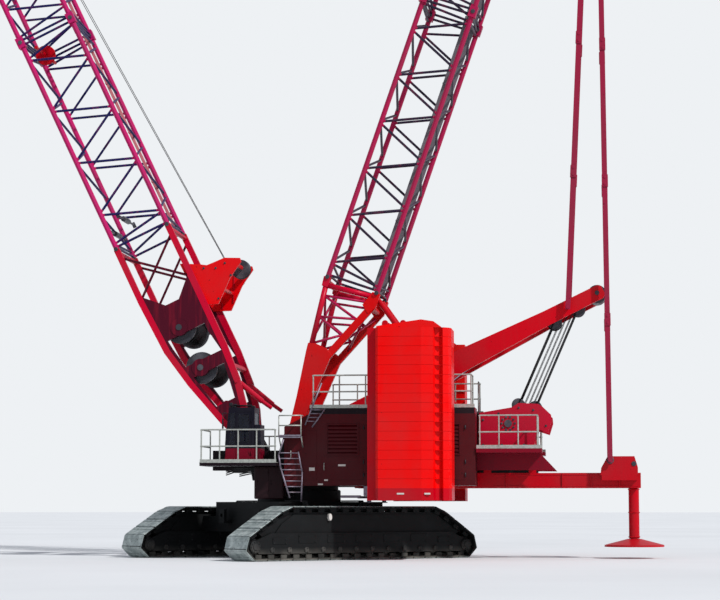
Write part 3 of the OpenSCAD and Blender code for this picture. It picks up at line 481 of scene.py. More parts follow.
def spread(name, pattern, places, finish, body="upper"):
    """Copies of a part at several places, dressed as one piece."""
    return dress(copies(name, pattern, places), body, finish)


def both_sides(name, pattern, finish, body="upper"):
    """The part on the left and its mirror image on the right, dressed as one piece."""
    return spread(name, pattern, LEFT_AND_RIGHT, finish, body)


def mirrored(places):
    """The places on the left side, and the same on the right."""
    return [side @ place for side in LEFT_AND_RIGHT for place in places]


def between(start, end, radius):
    """Where a bar of unit size goes so that it runs from start to end."""
    start, end = Vector(start), Vector(end)
    way = end - start
    turn = way.to_track_quat("Z", "Y").to_matrix().to_4x4()
    return Matrix.Translation(start) @ turn @ Matrix.Diagonal((radius, radius, way.length, 1))


def unit_bar(sides=8):
    """A bar of radius 1 and length 1 along Z."""
    deselect()
    bpy.ops.mesh.primitive_cylinder_add(vertices=sides, radius=1, depth=1, location=(0, 0, 0.5))
    piece = settle("bar")
    for polygon in piece.data.polygons:
        polygon.use_smooth = abs(polygon.normal.z) < 0.5
    return piece


def bars(name, runs, radius, sides=8):
    """Tubes along several straight runs of points."""
    places = [between(a, b, radius) for run in runs for a, b in zip(run, run[1:])]
    return copies(name, unit_bar(sides), places)


def span(low, high):
    """Where a block of unit size goes so that it fills the room between two corners."""
    low, high = Vector(low), Vector(high)
    return Matrix.Translation(low) @ Matrix.Diagonal((*(high - low), 1))


def panel(x_start, x_end, z_start, z_end, face, thickness):
    """Where a block of unit size goes so that it is a flat panel on a side face."""
    return span((x_start, face, z_start), (x_end, face + thickness, z_end))


def boxes(name, spans, edge=0.003):
    """Blocks, given as places from span(), as one piece with its edges broken."""
    deselect()
    bpy.ops.mesh.primitive_cube_add(size=1, location=(0.5, 0.5, 0.5))
    piece = copies(name, settle("block"), spans)
    return round_edges(piece, edge) if edge else piece


def bolt(size):
    """A hexagon head on its washer. It stands along Y on the surface Y = 0."""
    washer = cross_rod("washer", 0, 0, 0, 0.3 * size, 1.45 * size)
    head = cross_rod("head", 0, 0, 0.3 * size, 1.3 * size, size, 6, 0.12)
    return joined("bolt", [washer, head])


def ring(x, z, radius, count, y=0.0):
    """Places round a circle in the XZ plane."""
    angles = [math.tau * i / count for i in range(count)]
    return [at(x + radius * math.cos(a), y, z + radius * math.sin(a)) for a in angles]


def winding(name, place, radius, half):
    """Rope laid on a drum from -half to half, turn beside turn, with a second layer over two thirds of it."""
    deselect()
    bpy.ops.mesh.primitive_torus_add(major_radius=1, minor_radius=ROPE_RADIUS / radius, major_segments=32,
                                     minor_segments=5, rotation=(math.pi / 2, 0, 0))
    turn = settle("turn")
    for polygon in turn.data.polygons:
        polygon.use_smooth = True
    pitch = 2.05 * ROPE_RADIUS
    count = int(2 * half / pitch)
    places = []
    for lift, turns, shift in ((1, count, 0.5), (2.7, count * 2 // 3, 1)):
        layer = Matrix.Diagonal((radius + lift * ROPE_RADIUS, radius, radius + lift * ROPE_RADIUS, 1))
        places += [place @ at(0, -half + (i + shift) * pitch, 0) @ layer for i in range(turns)]
    return copies(name, turn, places)


def sheave_row(name, place, radius, width, half_span, count):
    """Grooved sheaves side by side on one axle along Y."""
    parts = []
    for i in range(count):
        y = (i - (count - 1) / 2) * width * 1.25
        parts.append(cross_rod("web", 0, 0, y - width * 0.2, y + width * 0.2, radius * 0.88, 32, 0.02))
        for s in SIDES:
            parts.append(cross_rod("rim", 0, 0, y + s * width * 0.18, y + s * width * 0.5, radius, 32, 0.06))
        parts.append(cross_rod("hub", 0, 0, y - width * 0.58, y + width * 0.58, radius * 0.28, 20, 0.06))
    parts.append(cross_rod("axle", 0, 0, -half_span, half_span, radius * 0.16, 16))
    return joined(name, parts, place)


# Camera, light and floor
def studio():
    """The photograph's viewing angle, a plain pale floor, a soft sky and one large lamp from the right."""
    camera = bpy.data.objects.new("camera", bpy.data.cameras.new("camera"))
    bpy.context.collection.objects.link(camera)
    camera.location = (-4.836, 33.149, 0.812)
    camera.rotation_euler = Vector((0.1143, -0.9883, 0.1013)).to_track_quat("-Z", "Y").to_euler()
    camera.data.lens = 101.8
    camera.data.sensor_width = 36
    camera.data.clip_end = 500
    bpy.context.scene.camera = camera
    bpy.context.scene.view_settings.view_transform = "Standard"

    sun = bpy.data.objects.new("sun", bpy.data.lights.new("sun", "SUN"))
    sun.data.energy = 3.1
    sun.data.angle = math.radians(2.5)
    sun.rotation_euler = Vector((0.60, -0.42, -0.68)).to_track_quat("-Z", "Y").to_euler()
    bpy.context.collection.objects.link(sun)

    world = bpy.data.worlds.new("world")
    bpy.context.scene.world = world
    world.use_nodes = True
    tree = world.node_tree
    sky = tree.nodes["Background"]
    sky.inputs["Color"].default_value = colour("#dfe6f2")
    sky.inputs["Strength"].default_value = 0.55
    backdrop = add_node(tree, "Background", {"Color": colour("#eef1f4"), "Strength": 1.0})
    seen = add_node(tree, "LightPath").outputs["Is Camera Ray"]
    both = add_node(tree, "MixShader", {0: seen, 1: sky.outputs[0], 2: backdrop.outputs[0]})
    tree.links.new(both.outputs[0], tree.nodes["World Output"].inputs["Surface"])

    deselect()
    bpy.ops.mesh.primitive_plane_add(size=600, location=(0, 0, -0.001))
    floor = settle("floor")
    material, tree, shader, place = begin("pale_floor", 0.9)
    paint(tree, shader, place, blend_colours(tree, patches(tree, place, 6.0, 0.3, 0.8), "#d9dadb", "#e4e5e6"))
    floor.data.materials.append(material)


# Undercarriage
def track_path():
    """The loop of a crawler in its own XZ plane, as the part's source draws it."""
    end_x = TRACK_LENGTH / 2 - END_RADIUS
    slope = math.degrees(math.atan2(TRACK_HEIGHT - 2 * END_RADIUS, end_x - TOP_RUN / 2 + END_RADIUS * 0.2))

    def arc(x, z, radius, first, last, count):
        angles = [math.radians(first + (last - first) * i / count) for i in range(count + 1)]
        return [(x + radius * math.cos(a), z + radius * math.sin(a)) for a in angles]

    half = [(0, 0)] + arc(end_x, END_RADIUS, END_RADIUS, -90, 90 - slope, 14)
    half += arc(TOP_RUN / 2, TRACK_HEIGHT - 0.16, 0.16, 90 - slope, 90, 4) + [(0, TRACK_HEIGHT)]
    return half + [(-x, z) for x, z in half[-2:0:-1]] + [(0, 0)]


def along(path, distance):
    """The point that far round the path."""
    for (x0, z0), (x1, z1) in zip(path, path[1:]):
        step = math.hypot(x1 - x0, z1 - z0)
        if distance <= step:
            return Vector((x0 + (x1 - x0) * distance / step, 0, z0 + (z1 - z0) * distance / step))
        distance -= step
    return Vector((path[-1][0], 0, path[-1][1]))


def shoe(pitch):
    """One cast shoe with tread bars, link rails, guide lugs and its hinge pin. Its ground face is at Z 0."""
    half, wide = pitch / 2, SHOE_WIDTH / 2
    parts = [block("shoe", (-half * 0.93, -wide, 0.007), (half * 0.93, wide, 0.036), 0.006)]
    for x in (-0.62, 0.62):
        low, high = ((x - 0.24) * half, -wide + 0.02, 0), ((x + 0.24) * half, wide - 0.02, 0.012)
        parts.append(block("tread", low, high))
    for y in (-0.12, 0.12):
        parts.append(block("link", (-half, y - 0.025, 0.03), (half, y + 0.025, 0.079), 0.006))
    for y in (-0.215, 0.215):
        parts.append(block("guide", (-half * 0.5, y - 0.015, 0.03), (half * 0.5, y + 0.015, 0.098), 0.008))
    parts.append(cross_rod("hinge", half, 0.032, -wide + 0.012, wide - 0.012, 0.013, 8))
    piece = joined("shoe", parts)
    piece.data.materials.append(SHOE_STEEL)
    piece.data.materials.append(SHOE_FACE)
    for polygon in piece.data.polygons:
        polygon.material_index = 1 if polygon.normal.z < -0.6 and polygon.center.z < 0.02 else 0
    return piece


def tracks():
    """Both crawler loops, shoe by shoe."""
    path = track_path()
    pitch = sum(math.dist(a, b) for a, b in zip(path, path[1:])) / SHOES
    for side, node in ((1, "track_left"), (-1, "track_right")):
        places = []
        for i in range(SHOES):
            start, end = (along(path, (i + k) * pitch) for k in (0.02, 0.98))
            way = (end - start).normalized()
            turn = Matrix((way, (0, 1, 0), (-way.z, 0, way.x))).transposed().to_4x4()
            middle = (start + end) / 2 + Vector((0, side * GAUGE / 2, 0))
            places.append(TURN @ Matrix.Translation(middle) @ turn)
        piece = copies(node + "_shoes", shoe(pitch), places)
        dress(piece, "undercarriage", SHOE_STEEL, SHOE_FACE)
        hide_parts(node)


def crawler_details():
    """Hubs, roller caps, covers, bolts and signs on the crawler frames; bearing bolts, steps and hoses."""
    wheel_x, face = TRACK_LENGTH / 2 - END_RADIUS, 0.24
    roller_z, roller_span = SHOE_THICK + 0.035 + ROLLER_RADIUS, 2 * wheel_x - 0.64
    faces = [TURN @ at(0, s * GAUGE / 2, 0) @ side for s in SIDES for side in LEFT_AND_RIGHT]
    carbody = [TURN @ side for side in LEFT_AND_RIGHT]
    hubs, caps, studs, covers, lines = [], [], [], [], []
    for x in (wheel_x, -wheel_x):
        for depth, radius, sides in ((0.03, 0.098, 32), (0.044, 0.052, 24)):
            hubs.append(cross_rod("hub", x, END_RADIUS, face, face + depth, radius, sides))
        studs += ring(x, END_RADIUS, 0.077, 10, face + 0.03)
    for i in range(ROLLERS):
        x = -roller_span / 2 + i * roller_span / (ROLLERS - 1)
        caps.append(cross_rod("cap", x, roller_z, face, face + 0.014, 0.042, 20))
        studs += ring(x, roller_z, 0.031, 3, face + 0.014)
    for middles, half, low, high, thickness in (((1.62, -1.62), 0.13, 0.25, 0.35, 0.008),
                                                ((-1.1, -0.55, 0.0, 0.55, 1.1), 0.17, 0.265, 0.395, 0.006)):
        for x in middles:
            covers.append(panel(x - half, x + half, low, high, face, thickness))
            studs += [at(x + s * (half - 0.02), face + thickness, z) for s in SIDES
                      for z in (low + 0.02, high - 0.02)]
    sign = cross_rod("sign", 0, 0, face - 0.05, face + 0.006, 0.055, 24)
    sign.data.transform(at(0.66, 0, 0.66) @ Matrix.Diagonal((0.6, 1, 1, 1)))
    steps = [[(x - 0.14, 0.90, z), (x - 0.14, 1.0, z), (x + 0.14, 1.0, z), (x + 0.14, 0.90, z)]
             for x in (-0.62, 0.0, 0.62) for z in (0.55, 0.76)]
    for s in SIDES:
        for i in range(4):
            x = s * (0.52 + 0.028 * i)
            lines.append([(x, 0.45, 0.914), (x, 0.925, 0.914), (x, 1.02, 0.74), (x + s * 0.06, 1.305, 0.52)])
    upward = Matrix.Rotation(math.pi / 2, 4, "X")
    circle = [Matrix.Rotation(math.tau * i / 48, 4, "Z") @ at(0.66, 0, 1.08) @ upward for i in range(48)]
    for name, pattern, places, finish in (
            ("frame_hubs", joined("hub", hubs), faces, ROLLER_STEEL),
            ("roller_caps", joined("cap", caps), faces, ROLLER_STEEL),
            ("frame_covers", boxes("cover", covers), faces, FRAME_STEEL),
            ("frame_bolts", bolt(0.009), [f @ place for f in faces for place in studs], ROLLER_STEEL),
            ("bearing_bolts", bolt(0.010), circle, ROLLER_STEEL),
            ("frame_signs", sign, [faces[0], faces[3]], PLATE_PALE),
            ("carbody_steps", bars("steps", steps, 0.011), carbody, ROLLER_STEEL),
            ("travel_hoses", bars("hoses", lines, 0.011, 10), carbody, RUBBER_HOSE)):
        spread(name, pattern, places, finish, "undercarriage")


def frame_fillers():
    """The upper guides of the crawler frames, which fill the loop up to the chain."""
    top, low, half = TRACK_HEIGHT - 0.088, 0.66, 0.18
    end = [(1.28, low), (1.32, top), (1.46, top - 0.004), (1.52, 0.70), (1.98, 0.424), (1.90, 0.36),
           (1.745, 0.33), (1.55, 0.56)]
    parts = [plate("end", [(s * x, z) for x, z in end], -half, half) for s in SIDES]
    parts.append(block("guide", (-1.31, -half, low), (1.31, half, top)))
    places = [TURN @ at(0, s * GAUGE / 2, 0) for s in SIDES]
    spread("frame_guides", joined("guides", parts), places, FRAME_STEEL, "undercarriage")


# Upper works
def handle(x, face, top, low):
    """A handle standing 30 mm off a door."""
    return [(x, face, top), (x, face + 0.03, top), (x, face + 0.03, low), (x, face, low)]


def house_details():
    """Louvre blades and frames, doors with hinges and handles, blank plates, and the exhausts on the roof."""
    face, roof = HOUSE_OUTER, HOUSE_TOP + 0.094
    tilt = Matrix.Rotation(math.radians(35), 4, "X")
    frames, blades, hinges, handles, pipe = [], [], [], [], []
    for x in (-2.70, -1.90, -1.10):
        for start, end, low, high in ((-0.03, 0.49, 1.625, 1.645), (-0.03, 0.49, 2.105, 2.125),
                                      (-0.03, -0.01, 1.645, 2.105), (0.47, 0.49, 1.645, 2.105)):
            frames.append(panel(x + start, x + end, low, high, face, 0.012))
        frames.append(panel(x - 0.10, x + 0.56, 1.24, 1.60, face, 0.005))
        for i in range(8):
            blade = span((0, 0, 0), (0.456, 0.004, 0.042))
            blades.append(at(x + 0.002, face - 0.006, 1.646 + 0.06 * i) @ tilt @ blade)
        for z in (1.32, 1.52, 2.06):
            hinge_x, y = x - 0.105, face + 0.012
            hinges.append(between((hinge_x, y, z - 0.03), (hinge_x, y, z + 0.03), 0.011))
        handles.append(handle(x + 0.52, face, 1.50, 1.40))
    frames.append(panel(-0.46, 0.0, 1.24, 2.02, face, 0.005))
    handles.append(handle(-0.05, face, 1.70, 1.58))
    plates = [panel(*edges, face + lift, 0.005) for edges, lift in (
        ((-0.43, -0.34, 1.385, 1.435), 0.005), ((-0.92, -0.80, 1.455, 1.485), 0.005),
        ((-0.64, -0.58, 1.225, 1.25), 0.002), ((-0.56, -0.48, 1.16, 1.185), 0))]
    for x in (-1.62, -1.36):
        pipe += [rod("base", (x, 1.02, roof), (x, 1.02, roof + 0.025), 0.075, 24),
                 rod("pipe", (x, 1.02, roof), (x, 1.02, roof + 0.27), 0.042, 24),
                 rod("rain_cap", (x - 0.01, 1.02, roof + 0.28), (x + 0.01, 1.02, roof + 0.30), 0.052, 20)]
    for name, piece, finish in (("house_doors", boxes("doors", frames, 0.002), HOUSE_SHADED_RED),
                                ("louvre_blades", boxes("blades", blades, 0.001), HOUSE_SHADED_RED),
                                ("door_hinges", copies("hinges", unit_bar(10), hinges), BED_STEEL),
                                ("door_handles", bars("handles", handles, 0.007), RAIL_STEEL),
                                ("blank_plates", boxes("plates", plates, 0.001), PLATE_PALE),
                                ("exhausts", joined("exhaust", pipe), BED_STEEL)):
        both_sides(name, piece, finish)


def grating(x0, x1, y0, y1, top):
    """Bars of a grating between two corners: bearing bars along X, thinner ones across."""
    pitch, cross, places = 0.024, 0.06, []
    for i in range(int((y1 - y0) / pitch) + 1):
        places.append(span((x0, y0 + i * pitch, top), (x1, y0 + i * pitch + 0.003, top + 0.012)))
    for i in range(int((x1 - x0) / cross) + 1):
        places.append(span((x0 + i * cross, y0, top + 0.004), (x0 + i * cross + 0.003, y1, top + 0.010)))
    return places


def deck_details():
    """Gratings, toe boards and rail feet of the walkways."""
    gratings, boards, feet = [], [], []
    for x0, x1, inner, edge, top in ((0.155, 1.34, 1.245, DECK_SIDE, FRONT_DECK),
                                     (-3.98, -2.995, 0.76, 1.28, REAR_DECK),
                                     (-2.94, -0.36, 0.76, HOUSE_OUTER, ROOF_WALK)):
        gratings += grating(x0, x1, inner, edge - 0.015, top)
        boards.append(panel(x0 - 0.015, x1 + 0.015, top, top + 0.055, edge - 0.006, 0.005))
    for x0, x1, y, top, count in ((-3.93, -3.03, HOUSE_OUTER, REAR_DECK, 3),
                                  (-2.90, -0.40, HOUSE_OUTER - 0.02, ROOF_WALK, 6),
                                  (0.16, 1.335, DECK_SIDE - 0.02, FRONT_DECK, 4)):
        for i in range(count + 1):
            x = x0 + (x1 - x0) * i / count
            feet.append(span((x - 0.028, y - 0.024, top + 0.001), (x + 0.028, y + 0.014, top + 0.009)))
            for z in (top + 0.25, top + 0.505):
                feet.append(span((x - 0.016, y - 0.016, z), (x + 0.016, y + 0.016, z + 0.02)))
    for name, spans, edge in (("deck_gratings", gratings, 0), ("toe_boards", boards, 0.001),
                              ("rail_feet", feet, 0.002)):
        both_sides(name, boxes(name, spans, edge), RAIL_STEEL)


def ladder(name, left, right, y_near, y_far, step):
    """A ladder between two strings of points in the XZ plane. The strings stand apart in Y too."""
    strings = [[(x, y, z) for x, z in string] for string, y in ((left, y_near), (right, y_far))]

    def point(string, height):
        for (x0, y0, z0), (x1, y1, z1) in zip(string, string[1:]):
            if z1 <= height <= z0:
                return (x0 + (x1 - x0) * (height - z0) / (z1 - z0), y0, height)
        return None

    rungs, height = [], max(string[-1][2] for string in strings) + step
    while height < min(string[0][2] for string in strings):
        rungs.append([point(string, height) for string in strings])
        height += step
    parts = [bars("strings", strings, 0.013, 10), bars("rungs", rungs, 0.009)]
    dress(joined(name, parts), "upper", LADDER_STEEL)


def stairs():
    """The ladders up to the front deck and to the house roof, and the step between them."""
    ladder("lower_ladder", ((0.027, 1.874), (0.106, 1.631), (0.073, 1.426), (-0.073, 0.958)),
           ((-0.171, 1.681), (-0.236, 1.363), (-0.222, 0.90)), 1.52, 1.30, 0.088)
    ladder("roof_ladder", ((-0.544, 2.766), (-0.283, 2.103)), ((-0.593, 2.354), (-0.387, 2.071)),
           1.31, 1.27, 0.06)
    left, right, edge, top, rail = -0.242, 0.109, 1.49, 1.925, 2.247
    spans = [span((left, 1.254, top - 0.012), (right, edge + 0.01, top)),
             span((left, edge + 0.004, top - 0.03), (right, edge + 0.01, top + 0.02))]
    dress(boxes("small_platform", spans, 0.002), "upper", LADDER_STEEL)
    rails = [[(left, edge, top), (left, edge, rail), (right, edge, rail), (right, edge, top)],
             [(left, edge, 2.09), (right, edge, 2.09)], [(left, 1.26, rail), (left, edge, rail)]]
    rails += [[(x, 1.26, 1.75), (x, 1.47, top - 0.01)] for x in (left, right)]
    dress(bars("platform_rails", rails, 0.010, 10), "upper", RAIL_STEEL)


def valve_cabinets():
    """The valve cabinets under the front decks, with doors, hinges, handles, vents and hose ends."""
    x0, x1, y0, y1, low, high = 0.10, 0.57, 0.745, 1.05, 0.945, 1.456
    parts = [block("cabinet", (x0, y0, low), (x1, y1, high), 0.012)]
    for left, right in ((x0 + 0.02, 0.33), (0.34, x1 - 0.02)):
        parts.append(block("door", (left, y1, low + 0.03), (right, y1 + 0.006, high - 0.03), 0.003))
        x, y = left + 0.004, y1 + 0.010
        parts += [rod("hinge", (x, y, z), (x, y, z + 0.05), 0.007, 10) for z in (low + 0.08, high - 0.13)]
        x, y = right - 0.03, y1 + 0.016
        parts.append(rod("handle", (x, y, 1.17), (x, y, 1.24), 0.005, 8))
    for i in range(6):
        z = 1.10 + 0.04 * i
        parts.append(block("vent", (x1, y0 + 0.05, z), (x1 + 0.006, y1 - 0.05, z + 0.015), 0.002))
    both_sides("valve_cabinets", joined("cabinet", parts), CABINET_SHADED_RED)
    runs = [[(x, y0 + 0.04, low + 0.02), (x - 0.16, y0 - 0.05, low + 0.05), (x - 0.18, y0 - 0.05, 1.23)]
            for x in (0.15, 0.20, 0.25, 0.30)]
    both_sides("cabinet_hoses", bars("hoses", runs, 0.010, 10), RUBBER_HOSE)


# Cab
def cushion(name, low, high, crown):
    """A stuffed seat part: crowned in the middle, drawn in along its sides, with a sewn channel across."""
    low, high = Vector(low), Vector(high)
    middle, half = (low + high) / 2, (high - low) / 2
    deselect()
    bpy.ops.mesh.primitive_cube_add(size=2)
    piece = settle(name)
    bpy.ops.object.mode_set(mode="EDIT")
    bpy.ops.mesh.select_all(action="SELECT")
    bpy.ops.mesh.subdivide(number_cuts=7)
    bpy.ops.object.mode_set(mode="OBJECT")
    for vertex in piece.data.vertices:
        x, y, z = vertex.co
        swell = ((1 - y * y) * (1 - z * z), (1 - x * x) * (1 - z * z), (1 - x * x) * (1 - y * y))
        shaped = Vector([c * (1 - crown + crown * s) for c, s in zip((x, y, z), swell)])
        if abs(y) < 0.08:
            shaped *= 1 - crown * 0.5
        vertex.co = middle + shaped * half
    smooth = piece.modifiers.new("smooth", "SUBSURF")
    smooth.levels = 1
    bpy.ops.object.modifier_apply(modifier=smooth.name)
    bpy.ops.object.shade_smooth_by_angle(angle=math.radians(50))
    dress(piece, "upper", SEAT_VINYL)


def cab_inside():
    """Seat, consoles, levers and pedals."""
    floor = FRONT_DECK + 0.02
    cushion("seat_cushion", (0.62, 0.895, 1.66), (0.80, 1.105, 1.725), 0.22)
    cushion("seat_back", (0.585, 0.90, 1.72), (0.645, 1.10, 2.05), 0.22)
    cushion("head_rest", (0.59, 0.945, 2.07), (0.635, 1.055, 2.15), 0.25)
    seat = [block("base", (0.65, 0.93, floor), (0.77, 1.07, floor + 0.03)),
            block("slides", (0.66, 0.94, floor + 0.03), (0.76, 1.06, 1.62), 0.010),
            block("pan", (0.625, 0.90, 1.62), (0.795, 1.10, 1.658), 0.006),
            block("shell", (0.572, 0.92, 1.70), (0.584, 1.08, 2.03)),
            rod("post", (0.578, 1.0, 2.02), (0.61, 1.0, 2.10), 0.006)]
    for y in (0.845, 1.125):
        middle = y + 0.022
        seat += [block("console", (0.64, y, 1.62), (0.83, y + 0.045, 1.755), 0.010),
                 rod("lever", (0.80, middle, 1.75), (0.812, middle, 1.83), 0.006),
                 rod("grip", (0.812, middle, 1.825), (0.815, middle, 1.865), 0.013, 16, 0.4)]
    front = [block("foot", (0.885, 0.94, floor), (0.935, 1.06, 1.72), 0.010),
             block("panel", (0.872, 0.885, 1.72), (0.93, 1.115, 1.80), 0.012),
             block("screen", (0.858, 0.90, 1.80), (0.872, 1.0, 1.885)),
             rod("stalk", (0.90, 0.95, 1.79), (0.868, 0.95, 1.83), 0.006)]
    for y in (0.93, 1.0, 1.07):
        front += [block("pedal", (0.835, y - 0.02, floor + 0.012), (0.875, y + 0.02, floor + 0.022), 0.003),
                  rod("arm", (0.87, y, floor + 0.016), (0.89, y, floor + 0.06), 0.005)]
    dress(joined("seat_frame", seat), "upper", CONTROL_GREY)
    piece = dress(joined("front_console", front), "upper", CONTROL_GREY)
    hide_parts("cab_fittings")


def cab_outside():
    """Wiper, mirror, roof guard, lamps and door handle."""
    middle, side, lamp_z, top = (CAB_INNER + CAB_OUTER) / 2, CAB_OUTER, CAB_TOP + 0.045, CAB_TOP + 0.035

    def on_glass(y, z):
        lean = -0.060 / (CAB_TOP - CAB_BEND)
        return CAB_FRONT + lean * max(0.0, z - CAB_BEND) + 0.012, y, z

    x, y, z = on_glass(middle, 1.70)
    wiper = [rod("pivot", (x - 0.012, y, z), (x + 0.010, y, z), 0.012, 16)]
    for start, end in (((middle, 1.70), (1.08, 1.95)), ((1.06, 1.86), (1.11, 2.06))):
        wiper.append(rod("arm", on_glass(*start), on_glass(*end), 0.004, 8))
    arms = [[(0.975, side, 2.30), (1.04, side + 0.07, 2.30), (1.04, side + 0.07, 2.12)],
            [(1.005, side, 1.62), (1.005, side + 0.03, 1.62), (0.99, side + 0.03, 2.02), (0.975, side, 2.04)]]
    mirror = [block("mirror", (1.028, side + 0.045, 2.05), (1.046, side + 0.10, 2.21), 0.007),
              block("glass", (1.0255, side + 0.050, 2.056), (1.029, side + 0.095, 2.204), 0.001)]
    guard = [[(0.60, y, CAB_TOP), (0.60, y, top), (0.90, y, top), (0.90, y, CAB_TOP)]
             for y in (0.83, 0.90, 0.97, 1.04, 1.11, 1.17)]
    guard += [[(x, 0.83, top), (x, 1.17, top)] for x in (0.60, 0.75, 0.90)]
    lamps, lenses = [], []
    for y in (0.80, 1.20):
        lamps += [block("bracket", (0.90, y - 0.012, CAB_TOP), (0.93, y + 0.012, CAB_TOP + 0.025), 0.003),
                  rod("lamp", (0.895, y, lamp_z), (0.95, y, lamp_z), 0.032, 24, 0.2)]
        lenses.append(rod("lens", (0.951, y, lamp_z), (0.955, y, lamp_z), 0.027, 24))
    catch = [rod("lever", (0.80, side + 0.016, 1.86), (0.80, side + 0.016, 1.93), 0.006),
             block("plate", (0.785, side, 1.84), (0.815, side + 0.004, 1.95), 0.002)]
    catch += [cross_rod("foot", 0.80, z, side, side + 0.016, 0.005) for z in (1.87, 1.92)]
    for piece, body, finish in ((joined("wiper", wiper), "upper", CONTROL_GREY),
                                (bars("mirror_arms", arms, 0.006), "upper", CONTROL_GREY),
                                (joined("mirror", mirror), "upper", CONTROL_GREY),
                                (bars("roof_guard", guard, 0.006), "upper", CONTROL_GREY),
                                (joined("work_lamps", lamps), "upper", CONTROL_GREY),
                                (joined("lamp_lenses", lenses), "upper", LENS),
                                (joined("door_handle", catch), "cab_door", RAIL_STEEL)):
        dress(piece, body, finish)


# Boom and mast
def mast_legs():
    """The mast's butt: box legs at its foot, then chords with bracing, in place of the plainer solid."""
    front, rear, half, top = MAST_FRONT, MAST_REAR, HALF_WIDTH, MAST_BUTT
    foot = ((-0.08, -0.09), (0.08, -0.09), (0.145, 0.619), (0.24, 1.358), (0.252, 1.49), (0.13, 1.52),
            (-0.06, 1.50), (-0.185, 1.42), (-0.17, 1.358), (-0.11, 0.619))
    strut = ((-0.17, 1.358), (-0.06, 1.405), (rear + 0.055, top - 0.193), (rear - 0.055, top - 0.24))
    eye = ((rear + 0.07, top), (rear - 0.06, top), (rear - 0.06, top - 0.24), (rear + 0.03, top - 0.36),
           (rear + 0.16, top - 0.25))
    lug = ((front + 0.06, top), (front - 0.06, top), (front - 0.055, top - 0.16), (front + 0.045, top - 0.16))
    zigzag = ((0.20, 1.50), (-0.22, 1.78), (0.225, 1.95), (-0.36, 2.10), (0.26, 2.30), (-0.46, 2.42))
    plates, lugs, chords, braces = [], [], [], []

    def run(*points):
        return [MAST @ Vector(point) for point in points]

    for y in (-half, half):
        for outline, thickness in ((foot, 0.045), (strut, 0.040), (eye, 0.050)):
            plates.append(plate("leg", outline, y - thickness, y + thickness))
        lugs.append(plate("lug", lug, y - 0.050, y + 0.050))
        chords += [run((0.19, y, 1.45), (front, y, top)), run((front, y, top - 0.13), (rear, y, top - 0.07))]
        braces += [run(*((x, y, z) for x, z in zigzag)), run((0.20, y, 1.60), (0.28, -y, 2.42)),
                   run((-0.22, y, 1.60), (-0.50, -y, 2.28))]
    legs = joined("mast_legs", plates, MAST)
    tubes = [rod("tube", *run((x, -half, z), (x, half, z)), radius, 16, 0.05) for x, z, radius in (
        (0.02, 0.80, 0.06), (0.02, 1.40, 0.06), (front, top - 0.07, 0.05), (rear + 0.05, top - 0.23, 0.05))]
    legs = joined("mast_legs", [legs] + tubes)
    dress(legs, "upper", LEG_RED)
    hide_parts("mast_butt")
    parts = [bars("chords", chords, 0.045, 16), joined("lugs", lugs, MAST)]
    dress(joined("mast_leg_chords", parts), "upper", CRIMSON)
    dress(bars("mast_leg_braces", braces, BRACE_RADIUS), "upper", LEG_BRACE_RED)


def stowed_bars():
    """The pendant bars stowed inside the rear chords of boom and mast, with their eyes and clips."""
    for name, node, body, axis, rear, depth, low, high, count, finish in (
            ("boom_bars", "boom_straps", "boom", BOOM, BOOM_REAR, 0.050, BUTT_LENGTH, TOP_START, 4,
             STRAP_PAINT),
            ("mast_bars", "mast_straps", "upper", MAST, MAST_REAR, 0.105, MAST_BUTT, MAST_HEAD, 2,
             MAST_BAR_PAINT)):
        spans, step, x = [], (high - low) / count, rear + 0.022
        for y in (-0.38, 0.38):
            for i in range(count):
                start, end = low + i * step + 0.04, low + (i + 1) * step - 0.04
                spans.append(span((x, y - 0.016, start), (x + depth, y + 0.016, end)))
                thicker = [(z, 0.16, 0.028, 0.006) for z in (start, end - 0.16)]
                thicker += [(start + (end - start) * k / 4, 0.03, 0.034, 0.004) for k in (1, 2, 3)]
                for z, length, half, past in thicker:
                    spans.append(span((x - 0.002, y - half, z), (x + depth + past, y + half, z + length)))
        piece = boxes(name, spans, 0.004)
        piece.data.transform(axis)
        dress(piece, body, finish)
        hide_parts(node)


def section_pins():
    """The four pins of every joint between sections, with their keepers."""
    boom_step, mast_step = (TOP_START - BUTT_LENGTH) / 4, (MAST_HEAD - MAST_BUTT) / 2
    for name, body, axis, chords, heights in (
            ("boom_section_pins", "boom", BOOM, (BOOM_FRONT, BOOM_REAR),
             [BUTT_LENGTH + i * boom_step for i in range(5)]),
            ("mast_section_pins", "upper", MAST, (MAST_FRONT, MAST_REAR),
             [MAST_BUTT + i * mast_step for i in range(3)])):
        pin = joined("pin", [cross_rod("pin", 0, 0, -0.080, 0.080, 0.024, 16, 0.2),
                             cross_rod("head", 0, 0, 0.066, 0.078, 0.036, 16),
                             block("keeper", (-0.045, -0.072, -0.010), (0.045, -0.066, 0.010), 0.002)])
        places = [axis @ at(x, y, z) for z in heights for x in chords for y in (-HALF_WIDTH, HALF_WIDTH)]
        spread(name, pin, places, SHEAVE_STEEL, body)


def drum_ropes():
    """Rope wound on both boom drums and on the rear winch, and the bolts of the drums' flanges."""
    for name, (x, z) in DRUMS.items():
        dress(winding(name + "_rope", BOOM @ at(x, 0, z), 0.19, 0.545), name, ROPE)
        flanges = [BOOM @ side @ place for side in LEFT_AND_RIGHT for place in ring(x, z, 0.245, 16, 0.58)]
        spread(name + "_bolts", bolt(0.005), flanges, BED_STEEL, name)
    dress(winding("rear_winch_rope", at(WINCH[0], 0, WINCH[1]), 0.17, 0.54), "rear_winch", ROPE)


